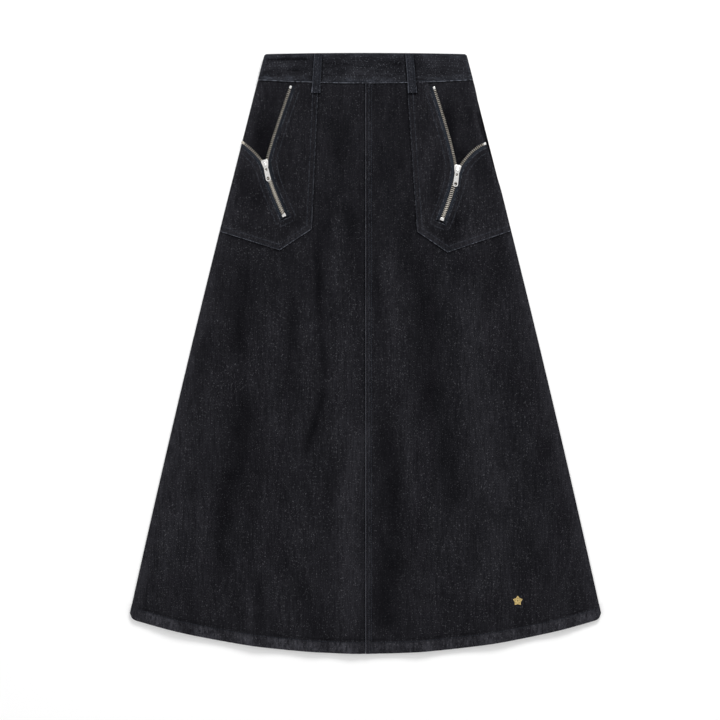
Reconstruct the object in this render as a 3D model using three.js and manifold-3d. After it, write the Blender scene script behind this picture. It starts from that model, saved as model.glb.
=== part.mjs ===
// A-line denim skirt lying flat with its front up, in millimetres: X runs across it, Y up to the waist, Z up.
// Four gores, a two-piece waistband, five belt loops and two patch pockets whose metal zips are half open.
// Left and right are the wearer's, so the left side of the skirt is at +X.
import * as THREE from "three";
import Module from "manifold-3d";
import { mergeVertices } from "three/addons/utils/BufferGeometryUtils.js";

const wasm = await Module();
wasm.setup();

// Outline of the laid skirt
const length = 937; // top edge to the lowest point of the hem, at the centre
const waistHalf = 157.3; // half the width of the top edge
const sideSpread = 0.262; // half width gained for each millimetre down the side
const sideEase = 2.38e-5; // how fast that gain falls off below the hip
const waistArch = 1.9; // the top edge is this much higher at the centre
const bandHeight = 47.2; // waistband, at the centre front
const seamLift = 5; // the waist seam is this much higher at the sides
const hemRadius = 1270; // arc of the hem
const sideFoot = 404.3; // the side edges end this far below the middle of the length
const cornerRadius = 9; // hem corners

// Cloth and gaps
const denim = 1;
const hemFold = 20; // depth of the turned hem
const hemExtra = 1.4; // the turned layers make the hem this much thicker
const bandThick = 2.4;
const seamGap = 0.3; // between neighbours at a seam
const layGap = 0.4; // least air between the back and the front
const fellWidth = 10; // centre front seam, felled towards the wearer's left
const fellExtra = 0.8;

// Heights of the waist, which lies on the back belt loops
const loopThick = 1.5;
const backBandUnder = loopThick + seamGap;
const backRise = 2.2; // the back gores are this high where they meet the waistband
const riseLength = 75;

// Billow of the front over the back
const billow = 0.9;
const billowLength = 250;
const sideBand = 0.16; // share of the half width over which the front comes down to the side seam

// Largest folds of the front: where a ridge starts, where it meets the hem, its half width and its height
const folds = [
  { topX: -196, topY: 70, hemX: -296, width: 38, height: 2.1 },
  { topX: -138, topY: 40, hemX: -174, width: 26, height: 2.4 },
  { topX: -62, topY: -110, hemX: -84, width: 20, height: 1.6 },
  { topX: -20, topY: 150, hemX: -22, width: 22, height: 2.3 },
  { topX: 44, topY: 160, hemX: 84, width: 23, height: 2.1 },
  { topX: 160, topY: 100, hemX: 203, width: 36, height: 2.5 },
  { topX: 234, topY: 20, hemX: 308, width: 31, height: 1.7 },
];

// Patch pockets: cut corners, sewn edges and the run of each zip, in the skirt's X and Y
const pockets = [
  {
    side: "right",
    innerTop: [-73.5, 421],
    innerFoot: [-84, 194],
    point: [-134, 161],
    sideFootY: 190,
    slider: [-156.5, 295.4],
    lean: 12, // degrees that the slider leans from the skirt's length
    innerBend: [-151.8, 318],
    innerStop: [-117, 414.9],
    outerBend: [-171.5, 314.5],
    outerStop: [-191.5, 329],
    closedBend: [-150.3, 266.1],
    closedStop: [-127.3, 215.4],
  },
  {
    side: "left",
    innerTop: [64.7, 421.5],
    innerFoot: [80.8, 190],
    point: [128.2, 157.6],
    sideFootY: 191,
    slider: [143.3, 287.4],
    lean: -7,
    innerBend: [136.5, 325.8],
    innerStop: [107, 413.8],
    outerBend: [164.5, 319.3],
    outerStop: [186, 326.7],
    closedBend: [140, 260.9],
    closedStop: [119.5, 209.4],
  },
];
const foldFromTeeth = 6.7; // pocket's folded edge from the middle of the open teeth
const foldFromChain = 8; // and from the middle of the closed chain
const windowPastStop = 6;
const sewnSlope = 24; // the pocket comes down to the gore over this distance
const bulgeReach = 60; // the zip stands higher than elsewhere this far round the slider

// Zips, size 5 in metal
const tapeThick = 1;
const tapeWidth = 13;
const beadWidth = 3.2; // one row of teeth
const chainWidth = 5.8; // two rows, closed
const teethThick = 2;
const zipFloat = 1.4; // middle of the zip above the gore
const sliderFloat = 2.45; // the same under the slider
const stopLength = 4.5;
const stopThick = 2.4;
const plate = { mouth: 10.4, tail: 7.4, front: -6.5, back: 6, thick: 1, inside: 1.25 };
const crown = { width: 1.8, front: -5.2, back: 3.4, foot: 1.2, frontTop: 3.5, backTop: 5.2, wall: 0.8 };
const pivot = { x: 1.2, z: 3.3 };
const pull = { length: 25, neck: 5.6, end: 7.4, thick: 1.2, barRadius: 0.6, slotEnd: 3.6, slotWidth: 2.5 };
const pullDrop = 3; // degrees that the resting pull slopes down to the chain

// Concealed closing zip in the wearer's left side seam
const sideZip = { topY: 421, footY: 247, width: 8, inset: 4.5, extraGap: 1.3 };

// Belt loops: middle of each at the top edge and at its foot
const loopWidth = 12.4;
const loopFootY = 406;
const frontLoopThick = 1.8;
const frontLoops = [
  { name: "belt_loop_front_right", topX: -73.6, footX: -77.5 },
  { name: "belt_loop_front_left", topX: 68.3, footX: 73.5 },
];
const backLoops = [
  { name: "belt_loop_back_right", x: -124 },
  { name: "belt_loop_back_centre", x: 0 },
  { name: "belt_loop_back_left", x: 124 },
];

const materials = {
  denim: new THREE.MeshStandardMaterial({ color: 0x1d1e25, roughness: 0.9, metalness: 0 }),
  tape: new THREE.MeshStandardMaterial({ color: 0x1a212c, roughness: 0.85, metalness: 0 }),
  teeth: new THREE.MeshStandardMaterial({ color: 0xb9ad95, roughness: 0.35, metalness: 1 }),
  nickel: new THREE.MeshStandardMaterial({ color: 0xc9c7c2, roughness: 0.28, metalness: 1 }),
};

const half = length / 2;
const smooth = (t) => {
  const c = Math.min(1, Math.max(0, t));
  return c * c * (3 - 2 * c);
};
const lerp = (a, b, t) => a + (b - a) * t;
const radians = THREE.MathUtils.degToRad;
const sideOf = (name) => (name === "left" ? 1 : -1);

// Outline
const topY = (f) => half - waistArch * f * f;
const seamY = (f) => half - bandHeight + seamLift * f * f;
function halfWidth(y) {
  const down = half - waistArch - y;
  return waistHalf + sideSpread * down - sideEase * down * down;
}
const footHalf = halfWidth(-sideFoot);
function hemY(x) {
  const inside = Math.max(0, Math.abs(x) - (footHalf - cornerRadius));
  const corner = cornerRadius - Math.sqrt(Math.max(0, cornerRadius ** 2 - inside * inside));
  const arc = hemRadius - Math.sqrt(hemRadius * hemRadius - x * x);
  return Math.min(-half + arc + corner, -sideFoot);
}

// How far the front's left edge stands back from the back's, where the side zip shows
function sideInset(y) {
  const t = (sideZip.topY - y) / (sideZip.topY - sideZip.footY);
  return t > 0 && t < 1 ? sideZip.inset * Math.sin(Math.PI * t) ** 2 : 0;
}
const frontHalf = (y, side) => halfWidth(y) - (side > 0 ? sideInset(y) : 0);

// Heights at a point of the laid skirt
function foldHeight(x, y) {
  let sum = 0;
  for (const fold of folds) {
    const t = (fold.topY - y) / (fold.topY + half);
    if (t <= 0) continue;
    const off = (x - lerp(fold.topX, fold.hemX, t)) / (fold.width * lerp(0.55, 1, t));
    sum += fold.height * smooth(1.4 * t) * Math.exp(-off * off);
  }
  return sum;
}
function frontGap(x, y) {
  const inward = smooth((1 - Math.abs(x) / halfWidth(y)) / sideBand);
  const below = seamY(x / halfWidth(y)) - y;
  const nearEdge = 1 - smooth((halfWidth(y) - x - 12) / 25);
  const zipShare = x > 0 ? smooth((y - sideZip.footY + 45) / 35) * nearEdge : 0;
  const rise = 0.1 + billow * smooth(below / billowLength) + foldHeight(x, y);
  return layGap + inward * rise + zipShare * sideZip.extraGap;
}
const turnedHem = (x, y) => {
  const up = y - hemY(x);
  return hemExtra * smooth((hemFold + 0.5 - up) / 2);
};
const backUnder = (x, y) => backRise * smooth(1 - (seamY(x / halfWidth(y)) - y) / riseLength);
const backTop = (x, y) => backUnder(x, y) + denim + turnedHem(x, y);
const frontUnder = (x, y) => backTop(x, y) + frontGap(x, y);
const frontTop = (x, y) => frontUnder(x, y) + denim + turnedHem(x, y);
const bandUnder = (x) => backBandUnder + bandThick + layGap + 0.6 * smooth((Math.abs(x) - 55) / 25);
const bandTop = (x) => bandUnder(x) + bandThick;

// A solid whose faces point out, from points and triangles
function solidFrom(points, triangles) {
  const a = new THREE.Vector3();
  const b = new THREE.Vector3();
  const c = new THREE.Vector3();
  let volume = 0;
  for (const [i, j, k] of triangles) {
    a.fromArray(points[i]);
    b.fromArray(points[j]);
    c.fromArray(points[k]);
    volume += a.dot(b.cross(c));
  }
  const index = triangles.flatMap(([i, j, k]) => (volume < 0 ? [i, k, j] : [i, j, k]));
  return new THREE.BufferGeometry()
    .setAttribute("position", new THREE.Float32BufferAttribute(points.flat(), 3))
    .setIndex(index);
}

// A wall over a grid of places, between an underside and an upper side
function gridWall(places, under, over) {
  const rows = places.length;
  const columns = places[0].length;
  const points = [];
  for (const height of [under, over]) {
    for (const row of places) {
      for (const [x, y] of row) points.push([x, y, height(x, y)]);
    }
  }
  const at = (layer, j, i) => layer * rows * columns + j * columns + i;
  const triangles = [];
  const quad = (a, b, c, d) => triangles.push([a, b, c], [a, c, d]);
  for (let j = 0; j < rows - 1; j++) {
    for (let i = 0; i < columns - 1; i++) {
      quad(at(1, j, i), at(1, j, i + 1), at(1, j + 1, i + 1), at(1, j + 1, i));
      quad(at(0, j, i), at(0, j + 1, i), at(0, j + 1, i + 1), at(0, j, i + 1));
    }
  }
  for (let i = 0; i < columns - 1; i++) {
    quad(at(0, 0, i), at(0, 0, i + 1), at(1, 0, i + 1), at(1, 0, i));
    quad(at(0, rows - 1, i), at(1, rows - 1, i), at(1, rows - 1, i + 1), at(0, rows - 1, i + 1));
  }
  for (let j = 0; j < rows - 1; j++) {
    quad(at(0, j, 0), at(1, j, 0), at(1, j + 1, 0), at(0, j + 1, 0));
    quad(at(0, j, columns - 1), at(0, j + 1, columns - 1), at(1, j + 1, columns - 1), at(1, j, columns - 1));
  }
  return solidFrom(points, triangles);
}

// A solid through rings of points, closed at both ends
function loft(rings) {
  const count = rings[0].length;
  const triangles = [];
  for (let j = 0; j < rings.length - 1; j++) {
    for (let i = 0; i < count; i++) {
      const next = (i + 1) % count;
      const [a, b, c, d] = [j * count + i, j * count + next, (j + 1) * count + next, (j + 1) * count + i];
      triangles.push([a, b, c], [a, c, d]);
    }
  }
  const last = (rings.length - 1) * count;
  for (let i = 1; i < count - 1; i++) {
    triangles.push([0, i + 1, i], [last, last + i, last + i + 1]);
  }
  return solidFrom(rings.flat(), triangles);
}

function toManifold(geometry) {
  const bare = geometry.clone();
  bare.deleteAttribute("normal");
  bare.deleteAttribute("uv");
  const merged = mergeVertices(bare, 1e-4);
  const vertProperties = merged.attributes.position.array;
  const triVerts = new Uint32Array(merged.index.array);
  return new wasm.Manifold(new wasm.Mesh({ numProp: 3, vertProperties, triVerts }));
}
function toGeometry(manifold) {
  const mesh = manifold.getMesh();
  return new THREE.BufferGeometry()
    .setAttribute("position", new THREE.BufferAttribute(mesh.vertProperties, 3))
    .setIndex(new THREE.BufferAttribute(mesh.triVerts, 1));
}
function prism(outline, bottom, top) {
  const shape = new THREE.Shape(outline.map(([x, y]) => new THREE.Vector2(x, y)));
  const depth = top - bottom;
  return new THREE.ExtrudeGeometry(shape, { depth, bevelEnabled: false }).translate(0, 0, bottom);
}

// A cloth piece of any outline, laid over the gores
function drapedPiece(outline, spacing, under, over) {
  const xs = outline.map(([x]) => x);
  const ys = outline.map(([, y]) => y);
  const [left, right] = [Math.min(...xs) - 1, Math.max(...xs) + 1];
  const [low, high] = [Math.min(...ys) - 1, Math.max(...ys) + 1];
  const columns = Math.ceil((right - left) / spacing);
  const rows = Math.ceil((high - low) / spacing);
  const places = [];
  for (let j = 0; j <= rows; j++) {
    const y = lerp(high, low, j / rows);
    places.push(Array.from({ length: columns + 1 }, (_, i) => [lerp(left, right, i / columns), y]));
  }
  const sheet = toManifold(gridWall(places, under, over));
  return toGeometry(sheet.intersect(toManifold(prism(outline, -10, 40))));
}

// Gores
const goreColumns = [0.06, 0.12, 0.18, 0.24, 0.3, 0.36, 0.42, 0.48, 0.54, 0.6, 0.66, 0.72, 0.78, 0.84, 0.88, 0.92, 0.96, 1];
const backColumns = [0.2, 0.4, 0.6, 0.8, 0.92, 1];
const hemRows = [26, hemFold + 0.5, hemFold - 1.5, 0];
function gorePlaces(sideName, widthAt, nearCentre, shares, rowShares) {
  const side = sideOf(sideName);
  const rows = [...rowShares.map((v) => ({ v, up: 0 })), ...hemRows.map((up) => ({ v: 1, up }))];
  return rows.map(({ v, up }) => {
    const placeY = (x) => {
      const f = Math.min(1, Math.abs(x) / footHalf);
      return lerp(seamY(f) - seamGap / 2, hemY(f * footHalf), v) + up;
    };
    const edgeY = placeY(footHalf);
    const wide = widthAt(edgeY, side);
    const across = [...nearCentre, ...shares.map((f) => lerp(nearCentre.at(-1), wide, f))];
    return across.map((x) => [side * x, placeY((x / wide) * footHalf)]);
  });
}
const evenRows = (count, from, to) => Array.from({ length: count }, (_, i) => lerp(from, to, i / count));
function frontGore(sideName) {
  const side = sideOf(sideName);
  const nearCentre = [seamGap / 2, fellWidth, fellWidth + 1];
  const rows = [...evenRows(16, 0, 0.3), ...evenRows(13, 0.3, 0.965)];
  const places = gorePlaces(sideName, frontHalf, nearCentre, goreColumns, rows);
  const felled = (x) => (side > 0 ? fellExtra * smooth(fellWidth + 1 - x) : 0);
  return gridWall(places, frontUnder, (x, y) => frontTop(x, y) + felled(x));
}
function backGore(sideName) {
  const rows = [...evenRows(6, 0, 0.1), 0.14, 0.3, 0.5, 0.7, 0.88];
  const width = (y) => halfWidth(y) - 0.6;
  const places = gorePlaces(sideName, width, [seamGap / 2], backColumns, rows);
  const short = places.map((row, j) => (j === places.length - 1 ? row.map(([x, y]) => [x, y + 1.5]) : row));
  return gridWall(short, backUnder, backTop);
}

// Waistband: its upper corners are rounded off a little
function bandPlaces(margin, count) {
  const rows = [0, 0.05, 0.12, 0.5, 1];
  return rows.map((v) => {
    const edge = Array.from({ length: count + 1 }, (_, i) => lerp(-1, 1, i / count));
    return edge.map((f) => {
      const y = lerp(topY(f) - margin, seamY(f) + seamGap / 2, v);
      const corner = v === 0 ? 2.2 : 0;
      return [f * (halfWidth(y) - margin - corner), y];
    });
  });
}

// Zip of one pocket: lines in the skirt's X and Y, with the side that the tape lies on
function zipLines(pocket) {
  const side = sideOf(pocket.side);
  const lean = radians(pocket.lean);
  const along = new THREE.Vector2(Math.sin(lean), -Math.cos(lean));
  const inward = new THREE.Vector2(-side * Math.cos(lean), -side * Math.sin(lean));
  const middle = new THREE.Vector2(...pocket.slider);
  const from = (down, across) => middle.clone().addScaledVector(along, down).addScaledVector(inward, across);
  const curve = (start, bend, stop) =>
    new THREE.QuadraticBezierCurve(start, new THREE.Vector2(...bend), new THREE.Vector2(...stop));
  return {
    side,
    middle,
    along,
    inner: curve(from(-3, 3), pocket.innerBend, pocket.innerStop),
    outer: curve(from(-3, -3), pocket.outerBend, pocket.outerStop),
    closed: curve(from(-1, 0), pocket.closedBend, pocket.closedStop),
  };
}

// Points along a curve with the normal that points to one side, +1 for the left of its direction
function stations(curve, steps, toSide, extend = 0) {
  const found = [];
  for (let i = 0; i <= steps; i++) {
    const t = i / steps;
    const tangent = curve.getTangent(t);
    const point = curve.getPoint(t);
    found.push({ point, tangent, normal: new THREE.Vector2(-tangent.y, tangent.x).multiplyScalar(toSide) });
  }
  if (extend) {
    const end = found.at(-1);
    found.push({ ...end, point: end.point.clone().addScaledVector(end.tangent, extend) });
  }
  return found;
}
const offsetPoint = ({ point, normal }, distance) => [
  point.x + normal.x * distance,
  point.y + normal.y * distance,
];

function distanceToLine([x, y], line) {
  let best = Infinity;
  for (let i = 0; i < line.length - 1; i++) {
    const [ax, ay] = line[i];
    const [bx, by] = line[i + 1];
    const [dx, dy] = [bx - ax, by - ay];
    const t = Math.min(1, Math.max(0, ((x - ax) * dx + (y - ay) * dy) / (dx * dx + dy * dy)));
    best = Math.min(best, Math.hypot(x - ax - t * dx, y - ay - t * dy));
  }
  return best;
}

function pocketModel(pocket) {
  const lines = zipLines(pocket);
  const { side } = lines;
  const edgeX = (y) => side * (frontHalf(y, side) - 1.2);
  const sideTopY = pocket.outerStop[1] - 55;
  const sewn = [
    pocket.innerTop,
    pocket.innerFoot,
    pocket.point,
    [edgeX(pocket.sideFootY), pocket.sideFootY],
    [edgeX(sideTopY), sideTopY],
  ];
  const middleHeight = (x, y) => {
    const near = 1 - Math.hypot(x - lines.middle.x, y - lines.middle.y) / bulgeReach;
    return lerp(zipFloat, sliderFloat, smooth(near));
  };
  const zipMiddle = (x, y) => frontUnder(x, y) + denim + middleHeight(x, y);
  const pocketUnder = (x, y) => {
    const loose = smooth(distanceToLine([x, y], sewn) / sewnSlope);
    const belowSeam = seamY(x / halfWidth(y)) - y;
    const waist = lerp(0.35, 1, smooth(belowSeam / 7));
    const raised = (middleHeight(x, y) + tapeThick / 2) * loose * waist;
    return frontUnder(x, y) + denim + seamGap + raised;
  };
  return { ...lines, pocket, edgeX, zipMiddle, pocketUnder };
}

// Which side of each zip line the pocket's cloth is on: the inner line runs up, the closed line down
function clothSides(side) {
  return { inner: side, outer: -side, closedInner: -side, closedOuter: side };
}

function pocketPatch(model) {
  const { side, pocket, edgeX, inner, outer, closed, pocketUnder } = model;
  const cloth = clothSides(side);
  const innerEdge = stations(inner, 8, cloth.inner).map((s) => offsetPoint(s, foldFromTeeth));
  const outerEdge = stations(outer, 8, cloth.outer).map((s) => offsetPoint(s, foldFromTeeth));
  const windowInner = stations(closed, 6, cloth.closedInner, windowPastStop).slice(2);
  const windowOuter = stations(closed, 6, cloth.closedOuter, windowPastStop).slice(2);
  const seamAt = (x) => seamY(x / halfWidth(half - bandHeight)) - seamGap / 2;
  const top = innerEdge.at(-1);
  const bendEnd = outerEdge.findLastIndex(([x]) => Math.abs(x) < Math.abs(edgeX(outerEdge.at(-1)[1])) - 1);
  const kept = outerEdge.slice(0, bendEnd + 1);
  const sideTop = kept.at(-1)[1] + (outerEdge.at(-1)[1] - kept.at(-1)[1]) * 0.6;
  const sideRows = [0, 0.25, 0.5, 0.75, 1].map((t) => lerp(pocket.sideFootY, sideTop, t));
  const topX = top[0] + (seamAt(top[0]) - top[1]) * 0.3 * -side;
  const outline = [
    [topX, seamAt(topX)],
    [pocket.innerTop[0], seamAt(pocket.innerTop[0])],
    pocket.innerFoot,
    pocket.point,
    ...sideRows.map((y) => [edgeX(y), y]),
    ...kept.reverse(),
    ...windowOuter.map((s) => offsetPoint(s, foldFromChain)),
    ...windowInner.reverse().map((s) => offsetPoint(s, foldFromChain)),
    ...innerEdge,
  ];
  const shape = THREE.ShapeUtils.isClockWise(outline.map(([x, y]) => new THREE.Vector2(x, y)))
    ? outline.reverse()
    : outline;
  return drapedPiece(shape, 10.5, pocketUnder, (x, y) => pocketUnder(x, y) + denim);
}

// A flat strip along stations, from one distance to another on the side of their normals
function stripAlong(list, near, far, middle, thick) {
  const rings = list.map((s) => {
    const [a, b] = [offsetPoint(s, near), offsetPoint(s, far)];
    const [za, zb] = [middle(...a), middle(...b)];
    const up = thick / 2;
    return [
      [...a, za - up],
      [...b, zb - up],
      [...b, zb + up],
      [...a, za + up],
    ];
  });
  return loft(rings);
}

// A row of teeth as one bead with eight sides
function beadAlong(list, width, thick, middle) {
  const chamfer = 0.5;
  const rings = list.map((s) => {
    const z = middle(s.point.x, s.point.y);
    const [w, h] = [width / 2, thick / 2];
    const corners = [
      [-w, -h + chamfer],
      [-w + chamfer, -h],
      [w - chamfer, -h],
      [w, -h + chamfer],
      [w, h - chamfer],
      [w - chamfer, h],
      [-w + chamfer, h],
      [-w, h - chamfer],
    ];
    return corners.map(([across, up]) => [...offsetPoint(s, across), z + up]);
  });
  return loft(rings);
}

function tape(model, branch, towards) {
  const { side, closed, zipMiddle } = model;
  const cloth = clothSides(side);
  const open = stations(model[branch], 10, cloth[branch], branch === "inner" ? 4 : 0.5).reverse();
  const shut = stations(closed, 9, cloth[towards], 4).slice(1);
  const nearOpen = beadWidth / 2 + seamGap;
  const nearShut = chainWidth / 2 + seamGap;
  const moved = (s, distance) => {
    const [x, y] = offsetPoint(s, distance);
    return { ...s, point: new THREE.Vector2(x, y) };
  };
  const list = [...open.map((s) => moved(s, nearOpen)), ...shut.map((s) => moved(s, nearShut))];
  return stripAlong(list, 0, tapeWidth - nearShut, zipMiddle, tapeThick);
}

function stop(point, tangent, width, middle) {
  const normal = new THREE.Vector2(-tangent.y, tangent.x);
  const list = [-1, 1].map((end) => ({
    point: point.clone().addScaledVector(tangent, (end * stopLength) / 2),
    normal,
  }));
  return beadAlong(list, width, stopThick, () => middle(point.x, point.y));
}

// Slider and pull in a frame of their own: X to the closed end, Z up, origin in the middle of the zip
function sliderGeometry() {
  const outline = [
    [plate.front, -plate.mouth / 2 + 1.6],
    [plate.front + 1.2, -plate.mouth / 2],
    [plate.front + 3.6, -plate.mouth / 2],
    [plate.back - 1, -plate.tail / 2],
    [plate.back, -plate.tail / 2 + 1],
  ];
  const mirrored = outline.map(([x, y]) => [x, -y]).reverse();
  const around = [...outline, ...mirrored];
  const lower = toManifold(prism(around, -plate.inside - plate.thick + 0.2, -plate.inside));
  const upper = toManifold(prism(around, plate.inside, plate.inside + plate.thick));
  const post = new THREE.CylinderGeometry(1, 1, 2 * plate.inside + 0.4, 10).rotateX(Math.PI / 2);
  const base = plate.inside + plate.thick - 0.2;
  const profile = new THREE.Shape([
    new THREE.Vector2(crown.front, base),
    new THREE.Vector2(crown.back, base),
    new THREE.Vector2(crown.back, crown.backTop - 0.9),
    new THREE.Vector2(crown.back - 0.9, crown.backTop),
    new THREE.Vector2(crown.front + 0.8, crown.frontTop),
  ]);
  const inner = [
    new THREE.Vector2(crown.front + crown.foot + 0.8, base - 1),
    new THREE.Vector2(crown.back - crown.foot, base - 1),
    new THREE.Vector2(crown.back - crown.foot, crown.backTop - crown.wall),
    new THREE.Vector2(crown.front + crown.foot + 0.8, crown.frontTop - crown.wall + 0.45),
  ];
  const depth = crown.width;
  const across = (shape, wide) =>
    new THREE.ExtrudeGeometry(shape, { depth: wide, bevelEnabled: false })
      .rotateX(Math.PI / 2)
      .translate(0, wide / 2, 0);
  const arch = toManifold(across(profile, depth)).subtract(toManifold(across(new THREE.Shape(inner), depth + 2)));
  const posted = toManifold(post.translate(-4.2, 0, 0));
  return toGeometry(lower.add(upper).add(posted).add(arch));
}

function pullGeometry() {
  const { length: long, neck, end, thick, barRadius, slotEnd, slotWidth } = pull;
  const shape = new THREE.Shape();
  shape.moveTo(0, -neck / 2);
  shape.lineTo(slotEnd + 3, -neck / 2);
  shape.lineTo(long - end / 2, -end / 2);
  shape.absarc(long - end / 2, 0, end / 2, -Math.PI / 2, Math.PI / 2, false);
  shape.lineTo(slotEnd + 3, neck / 2);
  shape.lineTo(0, neck / 2);
  const slot = new THREE.Path();
  slot.moveTo(barRadius * 0.8, -slotWidth / 2);
  slot.lineTo(barRadius * 0.8, slotWidth / 2);
  slot.lineTo(slotEnd, slotWidth / 2);
  slot.lineTo(slotEnd, -slotWidth / 2);
  const eye = new THREE.Path().absellipse(long - 5.2, 0, 2.4, 1.6, 0, Math.PI * 2, true);
  const small = new THREE.Path().absarc(slotEnd + 3.6, 0, 0.8, 0, Math.PI * 2, true);
  shape.holes.push(slot, eye, small);
  const flat = new THREE.ExtrudeGeometry(shape, { depth: thick, bevelEnabled: false, curveSegments: 6 });
  const bar = new THREE.CylinderGeometry(barRadius, barRadius, neck, 10);
  return toGeometry(toManifold(flat.translate(0, 0, -thick / 2)).add(toManifold(bar)));
}

// Belt loops
function clothTop(x, y, models) {
  if (y > seamY(x / halfWidth(y)) - 1) return bandTop(x);
  const model = models.find(({ side }) => side * x > 0);
  const { innerTop, innerFoot } = model.pocket;
  const edge = lerp(innerTop[0], innerFoot[0], (innerTop[1] - y) / (innerTop[1] - innerFoot[1]));
  const onPocket = Math.abs(x) > Math.abs(edge) - 2;
  return onPocket ? model.pocketUnder(x, y) + denim : frontTop(x, y);
}
function frontLoop({ topX, footX }, models) {
  const rings = [];
  const steps = 15;
  const topEdge = half - 1.2;
  for (let j = 0; j <= steps; j++) {
    const t = j / steps;
    const y = lerp(topEdge, loopFootY, t);
    const x = lerp(topX, footX, t);
    const beneath = [-1, 0, 1].flatMap((i) =>
      [-5, 0, 5].map((k) => clothTop(x + (i * loopWidth) / 2, Math.min(topEdge, y + k), models)),
    );
    const arch = 0.9 * Math.sin(Math.PI * Math.min(1, t / 0.78)) ** 0.8;
    const z = Math.max(...beneath) + seamGap + (t < 0.78 ? arch : 0);
    const [a, b] = [x - loopWidth / 2, x + loopWidth / 2];
    rings.push([
      [a, y, z],
      [b, y, z],
      [b, y, z + frontLoopThick],
      [a, y, z + frontLoopThick],
    ]);
  }
  return loft(rings);
}
function backLoop({ x }) {
  const wide = loopWidth / 2;
  const outline = [
    [x - wide, loopFootY],
    [x + wide, loopFootY],
    [x + wide, half - 3.6],
    [x - wide, half - 3.6],
  ];
  return prism(outline, 0, loopThick);
}

// The closing zip's tape, a strip in the left side seam
function sideZipTape() {
  const steps = 12;
  const rings = [];
  for (let j = 0; j <= steps; j++) {
    const y = lerp(sideZip.topY, sideZip.footY, j / steps);
    const outer = halfWidth(y) - 1.2;
    const z = (x) => backTop(x, y) + seamGap;
    const inner = outer - sideZip.width;
    rings.push([
      [inner, y, z(inner)],
      [outer, y, z(outer)],
      [outer, y, z(outer) + 0.9],
      [inner, y, z(inner) + 0.9],
    ]);
  }
  return loft(rings);
}

const skirt = new THREE.Group();
function addPiece(parent, name, geometry, material) {
  geometry.computeVertexNormals();
  const mesh = new THREE.Mesh(geometry, material);
  mesh.name = name;
  parent.add(mesh);
  return mesh;
}

const models = pockets.map(pocketModel);
for (const side of ["right", "left"]) {
  addPiece(skirt, `front_gore_${side}`, frontGore(side), materials.denim);
  addPiece(skirt, `back_gore_${side}`, backGore(side), materials.denim);
}
addPiece(skirt, "waistband_front", gridWall(bandPlaces(0, 24), bandUnder, bandTop), materials.denim);
const backBand = gridWall(
  bandPlaces(0.8, 12),
  () => backBandUnder,
  () => backBandUnder + bandThick,
);
addPiece(skirt, "waistband_back", backBand, materials.denim);
for (const loop of frontLoops) addPiece(skirt, loop.name, frontLoop(loop, models), materials.denim);
for (const loop of backLoops) addPiece(skirt, loop.name, backLoop(loop), materials.denim);
addPiece(skirt, "side_zip_tape", sideZipTape(), materials.tape);

for (const model of models) {
  const { pocket, zipMiddle, middle, along, inner, outer, closed } = model;
  const name = pocket.side;
  addPiece(skirt, `pocket_${name}`, pocketPatch(model), materials.denim);
  addPiece(skirt, `zip_tape_inner_${name}`, tape(model, "inner", "closedInner"), materials.tape);
  addPiece(skirt, `zip_tape_outer_${name}`, tape(model, "outer", "closedOuter"), materials.tape);
  for (const [label, curve, width] of [
    ["inner", inner, beadWidth],
    ["outer", outer, beadWidth],
    ["closed", closed, chainWidth],
  ]) {
    const list = stations(curve, 10, 1);
    const end = list.at(-1);
    const cut = stopLength / 2 + seamGap;
    list.at(-1).point = end.point.clone().addScaledVector(end.tangent, -cut);
    addPiece(skirt, `zip_teeth_${label}_${name}`, beadAlong(list, width, teethThick, zipMiddle), materials.teeth);
    const stopAt = curve.getPoint(1);
    const stopWidth = width + 0.4;
    addPiece(skirt, `zip_stop_${label}_${name}`, stop(stopAt, end.tangent, stopWidth, zipMiddle), materials.nickel);
  }
  const carrier = new THREE.Group();
  carrier.position.set(middle.x, middle.y, zipMiddle(middle.x, middle.y));
  carrier.rotation.z = Math.atan2(along.y, along.x);
  addPiece(carrier, `zip_slider_${name}`, sliderGeometry(), materials.nickel);
  const swing = new THREE.Group();
  swing.position.set(pivot.x, 0, pivot.z);
  swing.rotation.y = radians(pullDrop);
  addPiece(swing, `zip_pull_${name}`, pullGeometry(), materials.nickel);
  carrier.add(swing);
  skirt.add(carrier);
}

export default skirt;
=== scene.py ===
import math

import bmesh
import bpy
import numpy as np
from mathutils import Matrix, Vector
from mathutils.geometry import delaunay_2d_cdt


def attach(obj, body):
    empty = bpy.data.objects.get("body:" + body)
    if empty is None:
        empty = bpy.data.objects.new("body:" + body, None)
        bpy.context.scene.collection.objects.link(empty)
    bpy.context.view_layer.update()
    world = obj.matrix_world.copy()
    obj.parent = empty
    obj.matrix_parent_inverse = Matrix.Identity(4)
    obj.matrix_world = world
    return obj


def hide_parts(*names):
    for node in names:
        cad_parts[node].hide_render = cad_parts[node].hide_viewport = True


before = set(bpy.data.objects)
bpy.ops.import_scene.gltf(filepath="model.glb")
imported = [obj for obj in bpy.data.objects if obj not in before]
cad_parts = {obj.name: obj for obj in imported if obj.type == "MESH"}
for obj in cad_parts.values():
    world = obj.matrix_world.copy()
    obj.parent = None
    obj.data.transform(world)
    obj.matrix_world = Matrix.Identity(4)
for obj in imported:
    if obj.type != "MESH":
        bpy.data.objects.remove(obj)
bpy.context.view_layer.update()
print("frame loaded")

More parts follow.
